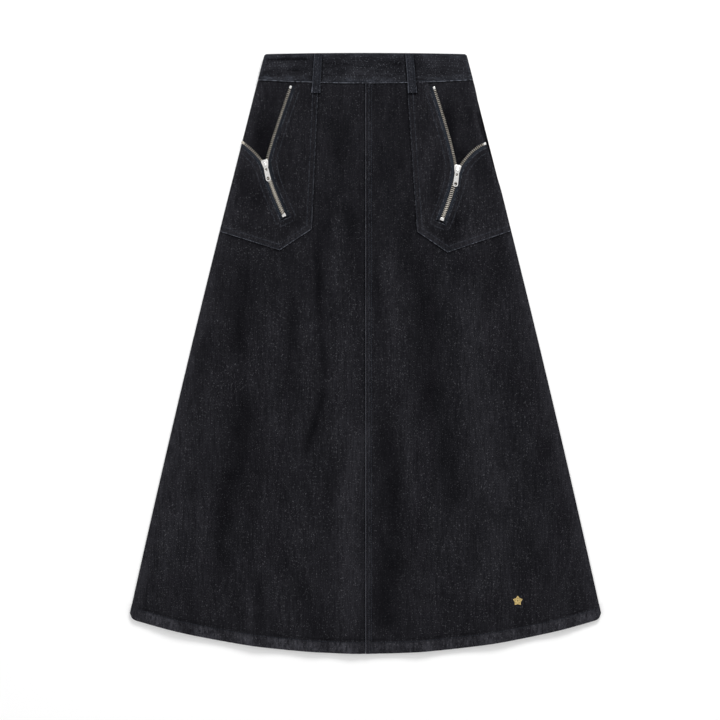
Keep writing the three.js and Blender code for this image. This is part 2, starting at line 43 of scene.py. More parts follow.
# Sizes are in millimetres here and turned into metres when a mesh is made
mm = 0.001
length = 937.0
half = length / 2
waistHalf = 157.3
sideSpread = 0.262
sideEase = 2.38e-5
waistArch = 1.9
bandHeight = 47.2
seamLift = 5.0
hemRadius = 1270.0
sideFoot = 404.3
cornerRadius = 9.0
denim = 1.0
hemFold = 20.0
hemExtra = 1.4
bandThick = 2.4
seamGap = 0.3
layGap = 0.4
fellWidth = 10.0
fellExtra = 0.8
loopThick = 1.5
backBandUnder = loopThick + seamGap
backRise = 2.2
riseLength = 75.0
billow = 0.9
billowLength = 250.0
sideBand = 0.16
foldLift = 1.15  # how much higher the folds stand below the pockets
creaseTail = 0.18  # share of a crease over which each end runs out
foldTop = 0.55  # share of its width that a fold has where it starts

# Large folds of the front: where each starts, where it meets the hem, half width and height
folds = [
    (-196, 70, -296, 38, 2.1),
    (-138, 40, -174, 26, 2.4),
    (-62, -110, -84, 20, 1.6),
    (-20, 150, -22, 22, 2.3),
    (44, 160, 84, 23, 2.1),
    (160, 100, 203, 36, 2.5),
    (234, 20, 308, 31, 1.7),
]

# Creases of the front: both ends, sideways bow, half width, and height (a trough is below nought)
frontCreases = [
    (-76, 185, -63, -49, -2, 7, -1.5),
    (-63, -42, -99, -170, 3, 7, -1.5),
    (-54, 380, -30, 239, -3, 14, -0.8),
    (-30, 247, -10, 133, 2, 11, -1.0),
    (18, 169, 15, 21, 2, 6, -0.8),
    (77, 170, 112, -100, 4, 22, -0.85),
    (103, -50, 145, -262, -3, 18, -0.8),
    (32, -112, 48, -322, 4, 20, -0.95),
    (48, -291, 35, -447, 2, 22, -1.2),
    (-185, 153, -199, -26, -5, 17, -1.15),
    (-190, -50, -210, -215, 4, 19, -1.1),
    (-204, -170, -232, -350, -4, 20, -1.2),
    (-116, 114, -121, -57, 2, 7, -0.7),
    (-166, -330, -161, -447, -1, 6.5, -1.1),
    (-102, -346, -82, -447, 2, 11, -0.9),
    (-52, -143, -65, -307, 3, 10, -0.9),
    (27, 403, 30, 200, 4, 20, -0.5),
    (66, 255, 68, 142, -1, 8, -0.7),
    (218, 68, 233, -73, 3, 14, -0.4),
    (288, -120, 264, -260, -3, 16, -0.4),
    (54, 395, 51, 270, 2, 12, -0.5),
    (-43, 231, -52, 83, 4, 12, 0.9),
    (-1, -108, -35, -240, -3, 14, 1.7),
    (-37, -205, -33, -462, 4, 18, 1.8),
    (41, 169, 40, -18, 2, 9, 1.1),
    (60, -96, 79, -244, -2, 9, 0.8),
    (-270, -60, -330, -390, 3, 20, 1.0),
    (158, 138, 185, -73, -4, 26, 0.6),
    (188, -73, 207, -260, 4, 24, 0.7),
    (197, -260, 186, -400, 2, 20, 0.4),
    (-149, 75, -155, -104, 3, 14, 0.6),
    (-252, -213, -247, -338, 2, 14, 0.6),
    (-185, -354, -180, -439, -1, 7, 1.0),
    (-132, 161, -129, -42, -2, 9, 0.4),
    (-98, 107, -93, -73, 2, 9, 0.6),
    (-38, 52, -35, -73, -2, 14, 0.6),
    (-165, -198, -161, -307, 2, 15, 0.4),
]

# Creases of the back, which lift it a little off what it lies on
backCreases = [
    (-210, 120, -262, -250, 8, 16, 0.5),
    (-118, 40, -140, -330, -6, 12, 0.45),
    (-52, -60, -60, -400, 5, 14, 0.5),
    (48, 90, 74, -260, 6, 13, 0.45),
    (150, 20, 176, -360, -7, 15, 0.5),
    (238, -40, 286, -340, 4, 12, 0.4),
    (-300, -180, -320, -360, 3, 10, 0.4),
]


def smooth(t):
    c = np.clip(t, 0.0, 1.0)
    return c * c * (3 - 2 * c)


def fall(t):
    return 1 - smooth(t)


def bell(t):
    return np.exp(-(t**2))


def lerp(a, b, t):
    return a + (b - a) * t


def topY(f):
    return half - waistArch * f * f


def seamY(f):
    return half - bandHeight + seamLift * f * f


def halfWidth(y):
    down = half - waistArch - y
    return waistHalf + sideSpread * down - sideEase * down * down


footHalf = halfWidth(-sideFoot)


def hemY(x):
    inside = np.maximum(0, np.abs(x) - (footHalf - cornerRadius))
    corner = cornerRadius - np.sqrt(np.maximum(0, cornerRadius**2 - inside * inside))
    arc = hemRadius - np.sqrt(hemRadius * hemRadius - x * x)
    return np.minimum(-half + arc + corner, -sideFoot)


sideZip = {"topY": 421.0, "footY": 247.0, "width": 8.0, "inset": 4.5, "extraGap": 1.3}


def sideInset(y):
    t = np.clip((sideZip["topY"] - y) / (sideZip["topY"] - sideZip["footY"]), 0, 1)
    return sideZip["inset"] * np.sin(math.pi * t) ** 2


def frontHalf(y, side):
    return halfWidth(y) - (sideInset(y) if side > 0 else 0)


def backHalf(y, side):
    return halfWidth(y) - 0.6


def foldHeight(x, y):
    total = np.zeros(np.broadcast(x, y).shape)
    for startX, startY, hemX, width, height in folds:
        t = (startY - y) / (startY + half)
        wide = width * lerp(foldTop, 1, np.clip(t, 0, 1))
        total = total + height * smooth(1.4 * t) * bell((x - lerp(startX, hemX, t)) / wide) * (t > 0)
    return total


def creaseHeight(x, y, creases):
    total = np.zeros(np.broadcast(x, y).shape)
    for x0, y0, x1, y1, bow, width, height in creases:
        dx, dy = x1 - x0, y1 - y0
        long = math.hypot(dx, dy)
        t = ((x - x0) * dx + (y - y0) * dy) / long**2
        across = ((x - x0) * -dy + (y - y0) * dx) / long - bow * 4 * t * (1 - t)
        ends = smooth(t / creaseTail) * smooth((1 - t) / creaseTail)
        wide = width * lerp(0.6, 1.0, ends)
        total = total + height * ends * bell(across / wide)
    return total


def ripple(x, y):
    slow = np.sin(x * 0.043 + 0.9 * np.sin(y * 0.011 + 1.0)) * np.sin(y * 0.009 + x * 0.013)
    quick = np.sin(x * 0.094 + 1.6 * np.sin(y * 0.017)) * np.sin(y * 0.023 - x * 0.031 + 2.0)
    return 0.16 * slow + 0.09 * quick


def belowSeam(x, y):
    return seamY(x / halfWidth(y)) - y


# Between the pockets the front is flatter: down to where, over how much, and what is left of creases and ripples
calm = {"footY": 150, "over": 90, "crease": 0.35, "ripple": 0.2}


def frontGap(x, y):
    inward = smooth((1 - np.abs(x) / halfWidth(y)) / sideBand)
    nearEdge = fall((halfWidth(y) - x - 12) / 25)
    zipShare = smooth((y - sideZip["footY"] + 45) / 35) * nearEdge * (x > 0)
    free = smooth((calm["footY"] - y) / calm["over"])
    creased = creaseHeight(x, y, frontCreases) * lerp(calm["crease"], 1, free)
    raised = foldHeight(x, y) * lerp(1, foldLift, free) + creased
    rise = 0.1 + billow * smooth(belowSeam(x, y) / billowLength) + raised + ripple(x, y) * lerp(calm["ripple"], 1, free)
    return np.maximum(layGap + inward * rise, 0.25) + zipShare * sideZip["extraGap"]


def turnedHem(x, y):
    up = y - hemY(x)
    return hemExtra * smooth((hemFold + 0.5 - up) / 2)


def hemPucker(x, y):
    up = y - hemY(x)
    inBand = smooth((hemFold + 4 - up) / 6)
    wave = np.sin(x * 0.46 + up * 0.16 + 2.1 * np.sin(x * 0.031)) * (0.6 + 0.4 * np.sin(x * 0.057 + 1.0))
    return inBand * 0.3 * wave


def backUnder(x, y):
    return backRise * smooth(1 - belowSeam(x, y) / riseLength)


def backLift(x, y):
    return backUnder(x, y) + np.minimum(creaseHeight(x, y, backCreases), 0.3)


def backTop(x, y):
    return backUnder(x, y) + denim + turnedHem(x, y)


def frontUnder(x, y):
    return backTop(x, y) + frontGap(x, y)


def frontTop(x, y):
    return frontUnder(x, y) + denim + turnedHem(x, y)


def bandUnder(x):
    return backBandUnder + bandThick + layGap + 0.6 * smooth((np.abs(x) - 55) / 25)


# Zips and pockets
pockets = [
    {
        "side": "right", "innerTop": (-73.5, 421), "innerFoot": (-84, 194), "point": (-134, 161), "sideFootY": 190,
        "slider": (-156.5, 295.4), "lean": 12, "innerBend": (-151.8, 318), "innerStop": (-117, 414.9),
        "outerBend": (-171.5, 314.5), "outerStop": (-191.5, 329), "closedBend": (-150.3, 266.1),
        "closedStop": (-127.3, 215.4),
    },
    {
        "side": "left", "innerTop": (64.7, 421.5), "innerFoot": (80.8, 190), "point": (128.2, 157.6), "sideFootY": 191,
        "slider": (143.3, 287.4), "lean": -7, "innerBend": (136.5, 325.8), "innerStop": (107, 413.8),
        "outerBend": (164.5, 319.3), "outerStop": (186, 326.7), "closedBend": (140, 260.9),
        "closedStop": (119.5, 209.4),
    },
]
foldFromTeeth = 6.7
foldFromChain = 8.0
windowPastStop = 6.0
sewnSlope = 24.0
bulgeReach = 60.0
tapeThick = 1.0
tapeWidth = 13.0
beadWidth = 3.2
chainWidth = 5.8
zipFloat = 1.4
sliderFloat = 2.45
stopLength = 4.5
pivot = {"x": 1.2, "z": 3.3}


def bezier(points, count):
    t = np.linspace(0, 1, count)[:, None]
    p0, p1, p2 = (np.array(p, dtype=float) for p in points)
    line = (1 - t) ** 2 * p0 + 2 * (1 - t) * t * p1 + t**2 * p2
    slope = 2 * (1 - t) * (p1 - p0) + 2 * t * (p2 - p1)
    return line, slope / np.linalg.norm(slope, axis=1, keepdims=True)


def leftOf(tangent):
    return np.stack([-tangent[:, 1], tangent[:, 0]], 1)


def extended(line, tangent, distance):
    return np.vstack([line, line[-1] + tangent[-1] * distance]), np.vstack([tangent, tangent[-1]])


def distanceToLine(x, y, line):
    best = np.full(np.broadcast(x, y).shape, 1e9)
    for (ax, ay), (bx, by) in zip(line[:-1], line[1:]):
        dx, dy = bx - ax, by - ay
        t = np.clip(((x - ax) * dx + (y - ay) * dy) / (dx * dx + dy * dy), 0, 1)
        best = np.minimum(best, np.hypot(x - ax - t * dx, y - ay - t * dy))
    return best


def stepsAlong(line):
    return np.concatenate([[0], np.cumsum(np.hypot(*np.diff(line, axis=0).T))])


def pocketModel(pocket):
    side = 1 if pocket["side"] == "left" else -1
    lean = math.radians(pocket["lean"])
    along = np.array([math.sin(lean), -math.cos(lean)])
    inward = np.array([-side * math.cos(lean), -side * math.sin(lean)])
    middle = np.array(pocket["slider"])

    def start(down, across):
        return middle + along * down + inward * across

    def edgeX(y):
        return side * (frontHalf(y, side) - 1.2)

    sideTopY = pocket["outerStop"][1] - 55
    sewn = [
        pocket["innerTop"], pocket["innerFoot"], pocket["point"],
        (float(edgeX(pocket["sideFootY"])), pocket["sideFootY"]), (float(edgeX(sideTopY)), sideTopY),
    ]

    def middleHeight(x, y):
        near = 1 - np.hypot(x - middle[0], y - middle[1]) / bulgeReach
        return lerp(zipFloat, sliderFloat, smooth(near))

    def zipMiddle(x, y):
        return frontUnder(x, y) + denim + middleHeight(x, y)

    def pocketUnder(x, y):
        loose = smooth(distanceToLine(x, y, sewn) / sewnSlope)
        waist = lerp(0.35, 1, smooth(belowSeam(x, y) / 7))
        return frontUnder(x, y) + denim + seamGap + (middleHeight(x, y) + tapeThick / 2) * loose * waist

    return {
        "name": pocket["side"], "side": side, "pocket": pocket, "middle": middle, "along": along, "edgeX": edgeX,
        "sewn": sewn, "zipMiddle": zipMiddle, "pocketUnder": pocketUnder,
        "branches": (("inner", side), ("outer", -side)),
        "inner": (start(-3, 3), pocket["innerBend"], pocket["innerStop"]),
        "outer": (start(-3, -3), pocket["outerBend"], pocket["outerStop"]),
        "closed": (start(-1, 0), pocket["closedBend"], pocket["closedStop"]),
    }


models = [pocketModel(pocket) for pocket in pockets]

# Materials


def addNode(tree, kind, values=None, **settings):
    node = tree.nodes.new(kind)
    for key, value in settings.items():
        setattr(node, key, value)
    for key, value in (values or {}).items():
        node.inputs[key].default_value = value
    return node


def calc(tree, operation, *sources, clamp=False):
    node = addNode(tree, "ShaderNodeMath", operation=operation, use_clamp=clamp)
    for socket, source in zip(node.inputs, sources):
        if isinstance(source, (int, float)):
            socket.default_value = source
        else:
            tree.links.new(source, socket)
    return node.outputs[0]


def times(tree, first, second, clamp=False):
    return calc(tree, "MULTIPLY", first, second, clamp=clamp)


def plus(tree, first, second):
    return calc(tree, "ADD", first, second)


def mixColour(tree, factor, first, second):
    node = addNode(tree, "ShaderNodeMix", data_type="RGBA")
    for socket, source in ((node.inputs[0], factor), (node.inputs[6], first), (node.inputs[7], second)):
        if isinstance(source, (int, float, tuple)):
            socket.default_value = source
        else:
            tree.links.new(source, socket)
    return node.outputs[2]


def ranged(tree, source, low, high, toLow=0.0, toHigh=1.0):
    node = addNode(tree, "ShaderNodeMapRange", {1: low, 2: high, 3: toLow, 4: toHigh}, clamp=True)
    tree.links.new(source, node.inputs[0])
    return node.outputs[0]


def noiseAt(tree, vector, stretch, detail=3.0, roughness=0.55, offset=(0, 0, 0)):
    mapping = addNode(tree, "ShaderNodeMapping", {"Scale": stretch, "Location": offset})
    tree.links.new(vector, mapping.inputs["Vector"])
    noise = addNode(tree, "ShaderNodeTexNoise", {"Scale": 1.0, "Detail": detail, "Roughness": roughness})
    tree.links.new(mapping.outputs[0], noise.inputs["Vector"])
    return noise.outputs[0]


def newMaterial(name, sockets):
    material = bpy.data.materials.new(name)
    material.use_nodes = True
    shader = material.node_tree.nodes["Principled BSDF"]
    for key, value in sockets.items():
        shader.inputs[key].default_value = value
    return material, material.node_tree, shader


def inMillimetres(tree, turn=0):
    spin = (0, 0, math.radians(turn))
    mapping = addNode(tree, "ShaderNodeMapping", {"Scale": (1000, 1000, 1000), "Rotation": spin})
    tree.links.new(addNode(tree, "ShaderNodeTexCoord").outputs["Object"], mapping.inputs["Vector"])
    return mapping.outputs[0]


def addBump(tree, shader, height, strength, distance):
    bump = addNode(tree, "ShaderNodeBump", {"Strength": strength, "Distance": distance})
    tree.links.new(height, bump.inputs["Height"])
    tree.links.new(bump.outputs[0], shader.inputs["Normal"])


def makeGrainGroup():
    tree = bpy.data.node_groups.new("denimGrain", "ShaderNodeTree")
    tree.interface.new_socket("Place", in_out="INPUT", socket_type="NodeSocketVector")
    for name in ("Streak", "Fleck", "Cloud", "Weave", "Patch", "Break", "Salt"):
        tree.interface.new_socket(name, in_out="OUTPUT", socket_type="NodeSocketFloat")
    place = addNode(tree, "NodeGroupInput").outputs[0]
    end = addNode(tree, "NodeGroupOutput")
    streak = noiseAt(tree, place, (0.5, 0.042, 0.1), 3.0, 0.62)
    weft = noiseAt(tree, place, (0.05, 0.6, 0.1), 2.0, 0.55, (7, 3, 0))
    both = plus(tree, times(tree, streak, 0.78), times(tree, weft, 0.22))
    coarse = noiseAt(tree, place, (0.66, 0.50, 0.4), 0.6, 0.5, (2, 9, 0))
    fine = noiseAt(tree, place, (2.3, 1.6, 1.0), 1.0, 0.5, (5, 2, 0))
    flecks = plus(tree, times(tree, coarse, 0.82), times(tree, fine, 0.18))
    salt = noiseAt(tree, place, (0.95, 0.70, 0.4), 2.0, 0.7, (6, 6, 1))
    cloud = noiseAt(tree, place, (0.026, 0.013, 0.01), 4.0, 0.62, (4, 1, 0))
    split = addNode(tree, "ShaderNodeSeparateXYZ")
    tree.links.new(place, split.inputs[0])
    x, y = split.outputs[0], split.outputs[1]
    diagonal = plus(tree, times(tree, x, 7.4), times(tree, y, 4.4))
    twill = calc(tree, "SINE", diagonal)
    yarn = calc(tree, "SINE", times(tree, x, 14.0))
    weave = plus(tree, times(tree, twill, 0.6), times(tree, yarn, 0.25))
    patch = noiseAt(tree, place, (0.26, 0.10, 0.15), 3.0, 0.65, (3, 3, 3))
    breaks = noiseAt(tree, place, (0.3, 0.24, 0.3), 2.0, 0.6, (8, 1, 4))
    results = (
        ranged(tree, both, 0.38, 0.64), ranged(tree, flecks, 0.615, 0.72), ranged(tree, cloud, 0.34, 0.66), weave,
        ranged(tree, patch, 0.40, 0.62), ranged(tree, breaks, 0.47, 0.57), ranged(tree, salt, 0.34, 0.68),
    )
    for source, socket in zip(results, end.inputs):
        tree.links.new(source, socket)
    return tree


grainGroup = makeGrainGroup()
denimSurface = {"Roughness": 0.85, "Sheen Weight": 0.008, "Sheen Roughness": 0.5, "Specular IOR Level": 0.05}
denimLook = {
    "dark": (0.0024, 0.0024, 0.0035, 1), "light": (0.0200, 0.0198, 0.0240, 1),
    "fleck": (0.115, 0.115, 0.127, 1), "worn": (0.064, 0.064, 0.076, 1), "line": (0.150, 0.160, 0.190, 1),
    "fleckShare": 0.6, "ropeShare": 0.62, "lineShare": 0.75, "lineFrom": 0.3, "lineTo": 1.1,
    "rowAt": 8.6, "rowShare": 0.12,
}


def makeDenim(name, turn, look):
    material, tree, shader = newMaterial(name, denimSurface)
    grain = addNode(tree, "ShaderNodeGroup", node_tree=grainGroup)
    tree.links.new(inMillimetres(tree, turn), grain.inputs[0])
    streak, fleck, cloud, weave, patch, breaks, salt = grain.outputs
    # The first attribute sets how pale the cloth is: its faded wash and worn places, with painted shade and light of
    # folds, creases, seams and edges laid into it
    fade, rope, edge = (
        addNode(tree, "ShaderNodeAttribute", attribute_name=key).outputs["Fac"] for key in ("fade", "rope", "edge")
    )
    base = plus(tree, times(tree, fade, 0.95), ranged(tree, cloud, 0.0, 1.0, -0.12, 0.14))
    base = times(tree, base, ranged(tree, streak, 0.0, 1.0, 0.5, 1.46))
    base = times(tree, base, ranged(tree, salt, 0.0, 1.0, 0.5, 1.5))
    base = times(tree, base, ranged(tree, weave, -0.8, 0.8, 0.6, 1.4), clamp=True)
    colour = mixColour(tree, base, look["dark"], look["light"])
    roped = times(tree, times(tree, rope, patch), look["ropeShare"])
    colour = mixColour(tree, roped, colour, look["worn"])
    share = look["fleckShare"]
    spotted = times(tree, fleck, ranged(tree, base, 0.0, 1.0, 0.3 * share, share))
    spotted = times(tree, spotted, ranged(tree, weave, -0.7, 0.7, 0.1, 1.9), clamp=True)
    colour = mixColour(tree, spotted, colour, look["fleck"])
    # A pale line along the edges and seams: their worn folded edge, and a painted highlight where the raised edge
    # catches the light
    line = calc(tree, "SUBTRACT", 1, ranged(tree, edge, look["lineFrom"], look["lineTo"]))
    broken = calc(tree, "MAXIMUM", rope, ranged(tree, breaks, 0.0, 1.0, 0.05, 1.0))
    line = times(tree, times(tree, line, broken), look["lineShare"])
    colour = mixColour(tree, line, colour, look["line"])
    off = calc(tree, "ABSOLUTE", calc(tree, "SUBTRACT", edge, look["rowAt"]))
    row = calc(tree, "SUBTRACT", 1, ranged(tree, off, 0.3, 1.3))
    row = times(tree, times(tree, row, breaks), look["rowShare"])
    colour = mixColour(tree, row, colour, look["line"])
    tree.links.new(colour, shader.inputs["Base Color"])
    relief = plus(tree, times(tree, weave, 0.05), times(tree, fleck, 0.06))
    relief = plus(tree, relief, times(tree, times(tree, patch, rope), 0.3))
    addBump(tree, shader, relief, 0.8, mm)
    return material


denimBody = makeDenim("denimBody", 0, denimLook)
bandLook = denimLook | {
    "light": (0.0230, 0.0236, 0.0286, 1), "worn": (0.062, 0.069, 0.088, 1), "fleck": (0.165, 0.172, 0.200, 1),
    "line": (0.195, 0.210, 0.250, 1), "fleckShare": 0.68, "rowShare": 0,
}
denimBand = makeDenim("denimBand", 90, bandLook)
loopLook = bandLook | {"light": (0.0232, 0.0250, 0.0318, 1), "ropeShare": 0.35, "lineShare": 0.45}
denimLoop = makeDenim("denimLoop", 0, loopLook)


def makePlain(name, colour, roughness, metallic, grain, depth, tint=0.25):
    surface = {"Metallic": metallic, "Specular IOR Level": 0.5 if metallic else 0.06}
    material, tree, shader = newMaterial(name, surface)
    noise = noiseAt(tree, inMillimetres(tree), (grain,) * 3, 3.0, 0.6)
    darker = tuple(c * (1 - tint) for c in colour[:3]) + (1,)
    tree.links.new(mixColour(tree, ranged(tree, noise, 0.3, 0.7), darker, colour), shader.inputs["Base Color"])
    rough = ranged(tree, noise, 0.2, 0.8, roughness * 0.8, min(1, roughness * 1.25))
    tree.links.new(rough, shader.inputs["Roughness"])
    addBump(tree, shader, noise, 0.6, depth * mm)
    return material


tapeCloth = makePlain("tapeCloth", (0.0190, 0.0225, 0.0300, 1), 0.85, 0, 1.0, 0.2, 0.85)
# The side zip's tape is made near black as painted shade in the gap at the side edge
tapePaintedShade = makePlain("tapePaintedShade", (0.0030, 0.0032, 0.0045, 1), 0.9, 0, 1.6, 0.2, 0.5)
teethMetal = makePlain("teethMetal", (0.84, 0.775, 0.675, 1), 0.42, 1, 0.5, 0.04, 0.6)
chainMetal = makePlain("chainMetal", (0.92, 0.865, 0.77, 1), 0.38, 1, 0.5, 0.04, 0.45)
zipMetal = makePlain("zipMetal", (0.93, 0.92, 0.90, 1), 0.26, 1, 0.35, 0.02, 0.12)
threadBlue = makePlain("threadBlue", (0.024, 0.028, 0.038, 1), 0.7, 0, 3.0, 0.08)
threadPale = makePlain("threadPale", (0.043, 0.051, 0.068, 1), 0.7, 0, 3.0, 0.08)
threadFaint = makePlain("threadFaint", (0.034, 0.040, 0.054, 1), 0.7, 0, 3.0, 0.08)
threadGold = makePlain("threadGold", (0.62, 0.47, 0.20, 1), 0.45, 0, 2.5, 0.1)
print("materials made")

# Meshes


def smoothMesh(mesh, angle):
    mesh.shade_smooth()
    mesh.set_sharp_from_angle(angle=math.radians(angle))


def finishMesh(name, points, faces, material, node=None, slotName="denim", values=None):
    mesh = bpy.data.meshes.new(name)
    mesh.from_pydata((np.asarray(points) * mm).tolist(), [], faces)
    mesh.update()
    for key, column in (values or {}).items():
        attribute = mesh.attributes.new(key, "FLOAT", "POINT")
        attribute.data.foreach_set("value", np.asarray(column, dtype=np.float32).ravel())
    smoothMesh(mesh, 48)
    return placeMesh(name, mesh, material, node)


def newObject(name, data):
    thing = bpy.data.objects.new(name, data)
    bpy.context.scene.collection.objects.link(thing)
    return thing


def placeMesh(name, mesh, material, node, body="skirt"):
    mesh.materials.clear()
    mesh.materials.append(material)
    piece = newObject(name, mesh)
    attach(piece, body)
    if node:
        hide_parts(node)
    return piece


def shellFaces(rows, columns, mirrored):
    index = np.arange(rows * columns).reshape(rows, columns)
    a, b = index[:-1, :-1].ravel(), index[1:, :-1].ravel()
    c, d = index[1:, 1:].ravel(), index[:-1, 1:].ravel()
    under = rows * columns
    top = np.stack([a, b, c, d], 1)
    bottom = np.stack([a, d, c, b], 1) + under
    ring = np.concatenate([index[:, 0], index[-1, 1:], index[::-1, -1][1:], index[0, ::-1][1:-1]])
    after = np.roll(ring, -1)
    rim = np.stack([ring, ring + under, after + under, after], 1)
    faces = np.concatenate([top, bottom, rim])
    if mirrored:
        faces = faces[:, ::-1]
    return faces.tolist()


def shell(name, x, y, under, over, material, mirrored=False, values=None, **facts):
    points = np.concatenate([np.stack([x, y, z], -1).reshape(-1, 3) for z in (over, under)])
    both = {key: np.concatenate([column.ravel(), column.ravel()]) for key, column in (values or {}).items()}
    return finishMesh(name, points, shellFaces(*x.shape, mirrored), material, values=both, **facts)


def goreGrid(side, widthAt, nearCentre, step, rowStep, hemUps):
    count = int((footHalf - nearCentre[-1]) / step)
    shares = np.arange(1, count + 1) / count
    rows = int(880 / rowStep)
    rowList = [(v, 0.0) for v in np.linspace(0, 0.966, rows)] + [(1.0, up) for up in hemUps]
    xs, ys = [], []
    for v, up in rowList:
        def placeY(reach):
            return lerp(seamY(reach / footHalf) - seamGap / 2, hemY(reach), v) + up
        wide = float(widthAt(placeY(np.array(footHalf)), side))
        across = np.concatenate([nearCentre, lerp(nearCentre[-1], wide, shares)])
        xs.append(side * across)
        ys.append(placeY(across / wide * footHalf))
    return np.array(xs), np.array(ys)


# Pale patches of the roped hem: middle, half width and strength
hemPatches = [
    (-324, 16, 0.9), (-297, 7, 0.6), (-252, 12, 0.9), (-233, 6, 0.7), (-186, 12, 1.0), (-132, 17, 1.0), (-102, 9, 0.8),
    (-80, 8, 0.8), (-33, 20, 1.0), (22, 9, 0.35), (46, 10, 0.4), (72, 8, 0.4), (100, 12, 0.7), (135, 10, 0.5),
    (163, 8, 0.6), (197, 14, 0.7), (233, 9, 0.5), (272, 10, 0.6), (306, 9, 0.6), (347, 16, 0.9),
]

loopWidth = 12.4
loopFootY = 406.0
frontLoops = {"front_right": (-73.6, -77.5), "front_left": (68.3, 73.5)}


def loopShadow(x, y):
    shadow = np.zeros(np.shape(x))
    for topX, footX in frontLoops.values():
        middle = lerp(topX, footX, (half - y) / (half - loopFootY))
        off = np.abs(x - middle)
        beside = bell((off - loopWidth / 2 - 0.9) / 1.3) * smooth((y - loopFootY + 2) / 3)
        below = bell((y - loopFootY + 1.4) / 1.6) * fall((off - 6.5) / 2)
        shadow = np.maximum(shadow, np.maximum(beside, below))
    return shadow


# Painted shade and light: darker and lighter places, the darkest in the openings beside the sliders; middle, reach
# across and along, and strength
frontShades = [
    (-163, 325, 20, 32, -0.26), (128, 352, 13, 48, -0.5), (148, 305, 13, 18, -0.4), (-158, 306, 8, 10, -0.2),
    (-192, 20, 11, 150, -0.09), (-222, -215, 20, 75, -0.08), (-46, 95, 12, 120, 0.08), (-22, -250, 14, 95, 0.07),
    (-30, -370, 18, 40, 0.08), (38, 90, 11, 60, 0.05), (165, 60, 22, 110, 0.04), (-150, 60, 16, 90, 0.04),
    (40, -300, 18, 95, -0.04), (-300, -250, 28, 130, 0.08), (-47, 350, 13, 22, 0.07), (280, -200, 22, 120, 0.04),
    (-191, -40, 10, 34, -0.1), (-232, -235, 12, 40, -0.05),
]
pocketShades = [
    (-173, 243, 20, 26, -0.22), (-111, 205, 15, 9, -0.26), (-137, 274, 8, 14, -0.22), (-121, 388, 9, 30, -0.22),
    (-136, 338, 9, 28, -0.2), (-122, 300, 12, 18, 0.06), (109, 262, 8, 26, -0.26), (140, 205, 14, 12, -0.26),
    (97, 324, 12, 40, 0.1), (163, 255, 16, 30, 0.12),
]


def shadeAt(x, y, shades):
    return sum(strength * np.exp(-(((x - mx) / rx) ** 2) - ((y - my) / ry) ** 2) for mx, my, rx, ry, strength in shades)


def patchesAt(x, patches):
    return sum(share * bell((x - middle) / wide) for middle, wide, share in patches)


def hemRope(x, y):
    up = y - hemY(x)
    patch = patchesAt(x + 0.35 * up, hemPatches)
    return smooth((hemFold - 1.5 - up) / 3) * (0.2 + 0.8 * np.minimum(patch, 1))


# Painted shade of the dark gap at the wearer's left side edge, and a painted highlight on the rim beside it: between
# which heights each shows
gapShadeAt = {"footY": 250, "topY": 368, "widenY": 318, "widen": 6.4, "dark": 0.9}
rimHighlightAt = {"footY": 300, "topY": 374, "inset": 2.6, "wide": 1.5, "pale": 0.26}


def sideGapShade(x, y, reach):
    between = smooth((y - gapShadeAt["footY"]) / 30) * fall((y - gapShadeAt["topY"]) / 14)
    return (x > 0) * between * fall((halfWidth(y) - x - reach) / 1.6)


# Painted shadows on the front beside the pockets' sewn edges, beside and below the belt loops and in the side gap, less
# the painted highlight on the rim
def paintedFrontShade(x, y, side):
    sewn = models[0 if side < 0 else 1]["sewn"][:4]
    shadow = 0.3 * fall(distanceToLine(x, y, sewn) / 4.5) * (y < 425)
    wide = gapShadeAt["widen"] * smooth((y - gapShadeAt["widenY"]) / 24) + 1.0
    rim = bell((halfWidth(y) - x - wide - rimHighlightAt["inset"]) / rimHighlightAt["wide"])
    rim = rim * smooth((y - rimHighlightAt["footY"]) / 20) * fall((y - rimHighlightAt["topY"]) / 12)
    return shadow + 0.6 * loopShadow(x, y) + gapShadeAt["dark"] * sideGapShade(x, y, wide) - rimHighlightAt["pale"] * rim


# How pale the gores are, and how much their parts change it: paler near the side edges, partly wear and partly painted
# light, painted shadow below the waist seam, at the top of the turned hem and beside the felled centre seam, and darker
# towards the top; then how much of the worn roping each part shows
goreTone = {"all": 0.395, "side": 0.28, "hem": 0.5, "hemStepShadow": 0.17, "seam": 0.2, "upper": 0.07, "centre": 0.35}
goreRope = {"seam": 0.35, "side": 0.2, "centreLoss": 0.35}
farEdge = 20.0  # a distance from an edge at which its worn and painted pale line no longer shows


def goreValues(x, y, lift, side, felled, front):
    fromCentre = np.abs(x)
    sideEdge = fall((halfWidth(y) - fromCentre) / 22)
    # Painted shadow under the waistband's edge, under the top of the turned hem and beside the felled centre seam; the
    # upper part is darker
    seam = fall((belowSeam(x, y) - 1) / 5)
    hemStepShadow = goreTone["hemStepShadow"] * bell((y - hemY(x) - hemFold - 0.6) / 1.5)
    upper = goreTone["upper"] * smooth((y - 40) / 90)
    dark = upper + goreTone["seam"] * seam + hemStepShadow + (0 if felled else goreTone["centre"] * fall(fromCentre / 4))
    if front:
        dark = dark + paintedFrontShade(x, y, side) - shadeAt(x, y, frontShades)
    fade = goreTone["all"] + lift + goreTone["side"] * sideEdge + goreTone["hem"] * hemRope(x, y) - dark
    crest = fall(fromCentre / 1.3) * (1.0 - goreRope["centreLoss"] * smooth((y + 260) / 360)) if felled else 0 * x
    rope = np.maximum.reduce([hemRope(x, y), crest, goreRope["seam"] * seam, goreRope["side"] * sideEdge])
    edge = np.clip(fromCentre * 1.35, 0, farEdge) if felled else np.full(x.shape, farEdge)
    return {"fade": np.clip(fade, 0, 1), "rope": rope, "edge": edge}


hemUps = [24, 22, hemFold + 0.5, hemFold - 0.6, hemFold - 1.7, 15, 11.5, 8, 4.5, 2, 0.8, 0]


